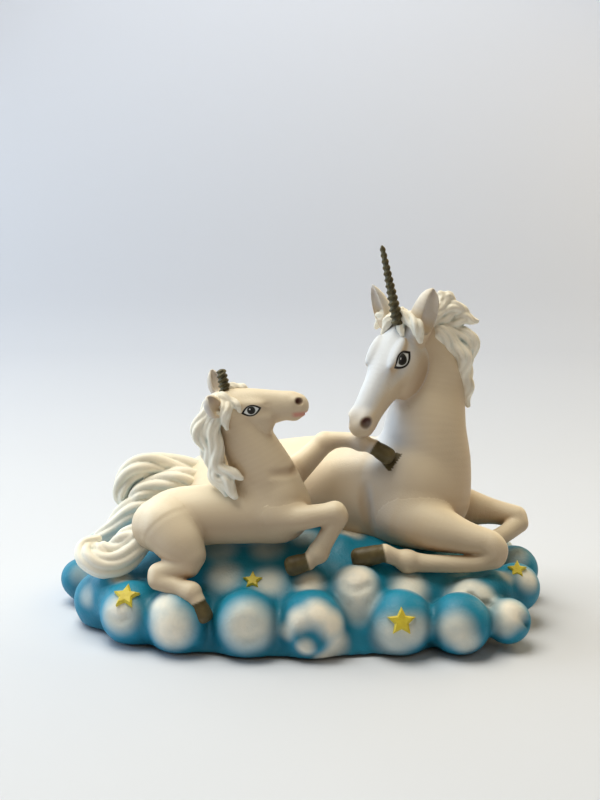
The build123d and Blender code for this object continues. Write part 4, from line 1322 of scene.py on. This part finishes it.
# %% Tools for Geometry Nodes
def tree_with(name, **inputs):
    """A Geometry Nodes tree with named inputs, and its input and output nodes."""
    tree = bpy.data.node_groups.new(name, "GeometryNodeTree")
    tree.interface.new_socket("Geometry", in_out="OUTPUT", socket_type="NodeSocketGeometry")
    for label, kind in inputs.items():
        label = label.replace("_", " ").title()
        tree.interface.new_socket(label, in_out="INPUT", socket_type="NodeSocket" + kind)
    return tree, add(tree, "NodeGroupInput"), add(tree, "NodeGroupOutput")


def grown(name, tree, values, placing, node):
    """A piece from a Geometry Nodes tree, turned into a plain mesh in its place."""
    mesh = bpy.data.meshes.new(name)
    piece = bpy.data.objects.new(name, mesh)
    bpy.context.collection.objects.link(piece)
    modifier = piece.modifiers.new("made_by_rule", "NODES")
    modifier.node_group = tree
    for item in tree.interface.items_tree:
        if item.in_out == "INPUT":
            modifier[item.identifier] = values[item.name]
    made = bpy.data.meshes.new_from_object(piece.evaluated_get(bpy.context.evaluated_depsgraph_get()))
    piece.modifiers.clear()
    made.transform(placing)
    made.name = name
    piece.data = made
    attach(piece, "root")
    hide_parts(node)
    return piece


print("tree tools ready")

# %% [markdown]
# The horn's tilt grows along the curve, which twists the oval. Its radius shrinks towards the tip, and a
# steep power rounds off the last bit. Realize Instances and Set Material end the tree, so the result is an
# ordinary mesh.

# %% Horn tree
HORN_STEPS, HORN_SIDES = 160, 28
TIP_ROUNDNESS, TIP_REST = 40.0, 1.002


def horn_tree():
    """The tree of a twisted, tapering horn that stands on the origin."""
    tree, given, result = tree_with(
        "twisted_horn",
        length="Float", root_radius="Float", tip_share="Float",
        turns="Float", flatness="Float", bronze="Material",
    )
    top = add(tree, "ShaderNodeCombineXYZ", {"Z": given.outputs["Length"]})
    line = add(tree, "GeometryNodeCurvePrimitiveLine", {"End": top.outputs[0]})
    line = add(tree, "GeometryNodeResampleCurve", {"Curve": line.outputs[0], "Count": HORN_STEPS})
    share = add(tree, "GeometryNodeSplineParameter").outputs["Factor"]
    turn = maths(tree, "MULTIPLY", maths(tree, "MULTIPLY", share, given.outputs["Turns"]), 2 * math.pi)
    line = add(tree, "GeometryNodeSetCurveTilt", {"Curve": line.outputs[0], "Tilt": turn})
    taper = add(tree, "ShaderNodeMapRange", {0: share, 1: 0.0, 2: 1.0, 3: 1.0, 4: given.outputs["Tip Share"]})
    fallen = maths(tree, "POWER", share, TIP_ROUNDNESS)
    round_tip = maths(tree, "SQRT", maths(tree, "SUBTRACT", TIP_REST, fallen))
    size = maths(tree, "MULTIPLY", taper.outputs[0], round_tip)
    line = add(tree, "GeometryNodeSetCurveRadius", {"Curve": line.outputs[0], "Radius": size})
    ring = {"Resolution": HORN_SIDES, "Radius": given.outputs["Root Radius"]}
    oval = add(tree, "GeometryNodeCurvePrimitiveCircle", ring)
    squeeze = add(tree, "ShaderNodeCombineXYZ", {"X": 1.0, "Y": given.outputs["Flatness"], "Z": 1.0})
    oval = add(tree, "GeometryNodeTransform", {"Geometry": oval.outputs[0], "Scale": squeeze.outputs[0]})
    width = add(tree, "GeometryNodeInputRadius").outputs[0]
    swept = {"Curve": line.outputs[0], "Profile Curve": oval.outputs[0], "Scale": width, "Fill Caps": True}
    bar = add(tree, "GeometryNodeCurveToMesh", swept)
    bar = add(tree, "GeometryNodeRealizeInstances", {0: bar.outputs[0]})
    painted = {"Geometry": bar.outputs[0], "Material": given.outputs["Bronze"]}
    bar = add(tree, "GeometryNodeSetMaterial", painted)
    tree.links.new(bar.outputs[0], result.inputs[0])
    return tree


twisted_horn = horn_tree()
print("horn tree with", len(twisted_horn.nodes), "nodes")

# %% [markdown]
# The horns are painted a dull bronze. The same kind of finish serves for the stars, the felt and the steel
# later: two colours mixed by noise, a roughness that varies a little, and a fine bump.

# %% Horns
HORN_SUNK = 3.0  # millimetres of the horn inside the head
HORN_FLATNESS = 0.72


def speckled(name, first, second, grain, rough, bump, **constants):
    """A finish between two colours; grain, rough and bump are what mottle and bumps take."""

    def paint(tree, shader):
        tree.links.new(tinted(tree, mottle(tree, *grain), first, second), shader.inputs["Base Color"])
        tree.links.new(mottle(tree, *rough), shader.inputs["Roughness"])
        tree.links.new(bumps(tree, *bump), shader.inputs["Normal"])
        for socket, value in constants.items():
            shader.inputs[socket.replace("_", " ")].default_value = value

    return finish(name, paint)


bronze = speckled(
    "bronze_paint", (0.050, 0.044, 0.024, 1), (0.16, 0.135, 0.065, 1),
    grain=(700, 0.0, 1.0), rough=(900, 0.38, 0.58), bump=(2500, 0.00006), Metallic=0.35,
)


def horn(name, root, tip, root_radius, tip_share, turns):
    """A horn from its root, sunk a little in the head, to its tip."""
    root, tip = Vector(root), Vector(tip)
    way = (tip - root).normalized()
    start = root - way * HORN_SUNK
    placing = Matrix.Translation(start * MM) @ way.to_track_quat("Z", "Y").to_matrix().to_4x4()
    values = {
        "Length": (tip - start).length * MM, "Root Radius": root_radius * MM, "Tip Share": tip_share,
        "Turns": turns, "Flatness": HORN_FLATNESS, "Bronze": bronze,
    }
    return grown(name + "_twist", twisted_horn, values, placing, name)


mare_horn = horn("mare_horn", (41.4, 1, 131.5), (34.5, -3, 162.8), 2.9, 0.42, 6.5)
foal_horn = horn("foal_horn", (-30.9, -22.5, 102.5), (-33, -22.5, 113.4), 2.8, 0.78, 3.5)
print("horn quads:", len(mare_horn.data.polygons), len(foal_horn.data.polygons))

# %% [markdown]
# ## Stars
# Four yellow stars are glued to the puffs. Their form follows a rule as well: a star curve is filled, drawn
# up and drawn in, so its sides slope and its top is flat. Each star is placed on the skin by a point and a
# direction.

# %% Star tree
STAR_POINTS, STAR_WAIST = 5, 0.5
STAR_WALL = 0.72  # the upright part of the side, as a share of the thickness
STAR_MERGE = 0.00002  # metres


def star_tree():
    """The tree of a star with sloping upper sides, lying on the origin."""
    tree, given, result = tree_with(
        "bevelled_star", radius="Float", thickness="Float", top_share="Float", yellow="Material"
    )
    waist = maths(tree, "MULTIPLY", given.outputs["Radius"], STAR_WAIST)
    points = {"Points": STAR_POINTS, "Inner Radius": waist, "Outer Radius": given.outputs["Radius"]}
    outline = add(tree, "GeometryNodeCurveStar", points)
    plate = add(tree, "GeometryNodeFillCurve", {"Curve": outline.outputs[0]}, mode="NGONS")
    rise = maths(tree, "MULTIPLY", given.outputs["Thickness"], STAR_WALL)
    drawn_up = {"Mesh": plate.outputs[0], "Offset Scale": rise, "Individual": False}
    wall = add(tree, "GeometryNodeExtrudeMesh", drawn_up)
    rest = maths(tree, "SUBTRACT", given.outputs["Thickness"], rise)
    drawn_on = {"Selection": wall.outputs["Top"], "Offset Scale": rest, "Individual": False}
    slope = add(tree, "GeometryNodeExtrudeMesh", {"Mesh": wall.outputs["Mesh"], **drawn_on})
    drawn_in = {"Selection": slope.outputs["Top"], "Scale": given.outputs["Top Share"]}
    slope_top = add(tree, "GeometryNodeScaleElements", {"Geometry": slope.outputs["Mesh"], **drawn_in})
    base = add(tree, "GeometryNodeFlipFaces", {"Mesh": plate.outputs[0]})
    body = add(tree, "GeometryNodeJoinGeometry")
    tree.links.new(base.outputs[0], body.inputs[0])
    tree.links.new(slope_top.outputs[0], body.inputs[0])
    whole = add(tree, "GeometryNodeMergeByDistance", {"Geometry": body.outputs[0], "Distance": STAR_MERGE})
    whole = add(tree, "GeometryNodeRealizeInstances", {0: whole.outputs[0]})
    painted = {"Geometry": whole.outputs[0], "Material": given.outputs["Yellow"]}
    whole = add(tree, "GeometryNodeSetMaterial", painted)
    tree.links.new(whole.outputs[0], result.inputs[0])
    return tree


bevelled_star = star_tree()
print("star tree with", len(bevelled_star.nodes), "nodes")

# %% [markdown]
# The stars differ in size only. Each is sunk into its puff, so that just the upper part stands out.

# %% Stars on the cloud
yellow = speckled(
    "star_paint", (0.76, 0.63, 0.05, 1), (0.58, 0.44, 0.03, 1),
    grain=(350, 0.0, 0.6), rough=(600, 0.40, 0.55), bump=(1400, 0.00006),
)
STARS = {  # place on the skin, the way it looks, and the radius to the points
    "star_left": ((-72.0, -46.9, 22.7), (-0.10, -0.62, 0.78), 5.8),
    "star_middle": ((-19.8, -40.2, 27.0), (-0.02, -0.66, 0.75), 4.3),
    "star_front": ((41.0, -62.3, 17.6), (0.0, -0.90, 0.43), 6.0),
    "star_right": ((93.4, -22.6, 25.4), (-0.08, -0.76, 0.65), 4.3),
}
STAR_THICKNESS, STAR_STANDS = 2.8, 1.1
STAR_TOP = 0.72
for name, (place, looks, radius) in STARS.items():
    way = Vector(looks).normalized()
    level = Vector((0, 0, 1)).cross(way).normalized()
    placing = Matrix.Identity(4)
    for column, axis in enumerate((way.cross(level), -level, way)):
        placing.col[column][:3] = axis
    placing.translation = (Vector(place) + way * (STAR_STANDS - STAR_THICKNESS)) * MM
    sizes = {"Radius": radius * MM, "Thickness": STAR_THICKNESS * MM}
    values = {**sizes, "Top Share": STAR_TOP, "Yellow": yellow}
    piece = grown(name + "_bevelled", bevelled_star, values, placing, name)
    print(piece.name, len(piece.data.polygons), "faces")

# %% [markdown]
# ## Felt and dowels
# The felt sole and the steel pins keep their solids, because a flat oval and a plain pin need no more
# shape. They only get better finishes: a fuzzy dark blue felt and plain steel.

# %% Felt and steel
felt = speckled(
    "felt", (0.035, 0.045, 0.075, 1), (0.085, 0.10, 0.14, 1),
    grain=(1800, 0.0, 1.0), rough=(2500, 0.88, 1.0), bump=(2600, 0.0003, 5.0), Sheen_Weight=0.4,
)
steel = speckled(
    "steel", (0.44, 0.44, 0.45, 1), (0.60, 0.60, 0.60, 1),
    grain=(900, 0.0, 1.0), rough=(2200, 0.25, 0.42), bump=(3000, 0.00003), Metallic=1.0,
)
for node, material in (("felt_sole", felt), ("steel_dowels", steel)):
    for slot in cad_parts[node].material_slots:
        slot.material = material
    print(node, "finished")

# %% [markdown]
# ## Table and light
# A pale floor runs up in a curve into a pale wall, with no corner to see. A bent sheet does that better
# than a floor and a wall that meet. Two masks let the floor darken a little behind the ornament and the
# wall stay bright.

# %% Floor
FLOOR_HALF, BACK_Y, WALL_TOP, CURVE = 1.6, 1.6, 1.6, 0.8  # metres
FLOOR_PALE, FLOOR_MOTTLE = (0.67, 0.71, 0.79, 1), (0.65, 0.69, 0.78, 1)
FLOOR_BEHIND, WALL_PALE = (0.49, 0.53, 0.62, 1), (0.82, 0.87, 0.98, 1)
BACK_FROM, BACK_FADE, WALL_FADE = 0.05, 0.5, 0.35

profile = [(-FLOOR_HALF, 0.0), (0.0, 0.0), (0.2, 0.0), (0.4, 0.0), (0.6, 0.0)]
for turn in np.linspace(0, math.pi / 2, 24):
    profile.append((BACK_Y - CURVE + CURVE * math.sin(turn), CURVE - CURVE * math.cos(turn)))
profile += [(BACK_Y, 1.2), (BACK_Y, WALL_TOP)]
corners = np.array([(side * FLOOR_HALF, py, pz) for py, pz in profile for side in (-1, 1)])
faces = [(2 * i, 2 * i + 1, 2 * i + 3, 2 * i + 2) for i in range(len(profile) - 1)]
floor_mesh = bpy.data.meshes.new("pale_floor")
floor_mesh.from_pydata(corners.tolist(), [], faces)
store_mask(floor_mesh, "back", np.clip((corners[:, 1] - BACK_FROM) / BACK_FADE, 0, 1))
store_mask(floor_mesh, "wall", np.clip(corners[:, 2] / WALL_FADE, 0, 1))
floor_mesh.shade_smooth()
floor = bpy.data.objects.new("pale_floor", floor_mesh)
bpy.context.collection.objects.link(floor)


def floor_paint(tree, shader):
    """A plain pale colour that changes from the floor to the wall."""
    colour = tinted(tree, mottle(tree, 3, 0.0, 0.3), FLOOR_PALE, FLOOR_MOTTLE)
    colour = tinted(tree, mask(tree, "back"), colour, FLOOR_BEHIND)
    colour = tinted(tree, mask(tree, "wall"), colour, WALL_PALE)
    tree.links.new(colour, shader.inputs["Base Color"])
    shader.inputs["Roughness"].default_value = 0.8


floor_mesh.materials.append(finish("pale_floor", floor_paint))
print("floor faces:", len(faces))

# %% [markdown]
# The room around the table gives a dim warm light, so that shadows are not black. Where the camera sees
# past the floor, it sees a pale colour instead, which would be far too bright as a light.

# %% Room
ROOM_WARM, ROOM_STRENGTH = (1.0, 0.84, 0.64, 1), 0.05
ROOM_PALE = (0.72, 0.75, 0.82, 1)

world = bpy.data.worlds.new("dim_room")
world.use_nodes = True
room = world.node_tree
dim = room.nodes["Background"]
dim.inputs["Color"].default_value = ROOM_WARM
dim.inputs["Strength"].default_value = ROOM_STRENGTH
pale = add(room, "ShaderNodeBackground", {"Color": ROOM_PALE, "Strength": 1.0})
seen = add(room, "ShaderNodeLightPath").outputs["Is Camera Ray"]
both = add(room, "ShaderNodeMixShader", {0: seen, 1: dim.outputs[0], 2: pale.outputs[0]})
room.links.new(both.outputs[0], room.nodes["World Output"].inputs["Surface"])
bpy.context.scene.world = world
print("room:", world.name)

# %% [markdown]
# The strongest lamp on the ornament is a soft warm one overhead. A cool lamp at the back left and a warm
# one at the back right rim the animals, a cool one shines from the left like a window, and a weak warm one
# fills the front. The wall has a lamp of its own. All are large beside the ornament, so the shadows are
# soft.

# %% Lamps
AIM = Vector((0, 0, 0.06))
WALL_LAMP_TILT = 80  # degrees from straight down, towards the wall
LAMPS = {  # place and size in metres, power in watts, and colour
    "overhead": ((-0.30, 0.10, 1.15), 0.8, 14.0, (1.0, 0.96, 0.84)),
    "back_left": ((-0.90, 0.80, 0.60), 1.0, 5.5, (0.85, 0.95, 1.0)),
    "back_right": ((0.90, 0.80, 0.70), 1.0, 7.0, (1.0, 0.76, 0.40)),
    "front_fill": ((0.50, -1.00, 0.90), 1.2, 2.2, (1.0, 0.78, 0.52)),
    "left_window": ((-1.10, 0.10, 0.35), 0.6, 5.0, (0.65, 0.83, 1.0)),
    "wall_light": ((0.0, 0.60, 1.9), 2.0, 14.0, (0.93, 0.96, 1.0)),
}


def soft_light(name, place, size, power, colour):
    """A square light that looks at the ornament."""
    data = bpy.data.lights.new(name, "AREA")
    data.size, data.energy, data.color = size, power, colour
    lamp = bpy.data.objects.new(name, data)
    lamp.location = place
    lamp.rotation_euler = (AIM - Vector(place)).to_track_quat("-Z", "Y").to_euler()
    bpy.context.collection.objects.link(lamp)
    return lamp


lamps = {name: soft_light(name, *values) for name, values in LAMPS.items()}
lamps["wall_light"].rotation_euler = (math.radians(WALL_LAMP_TILT), 0.0, 0.0)
print("lamps:", ", ".join(lamps))
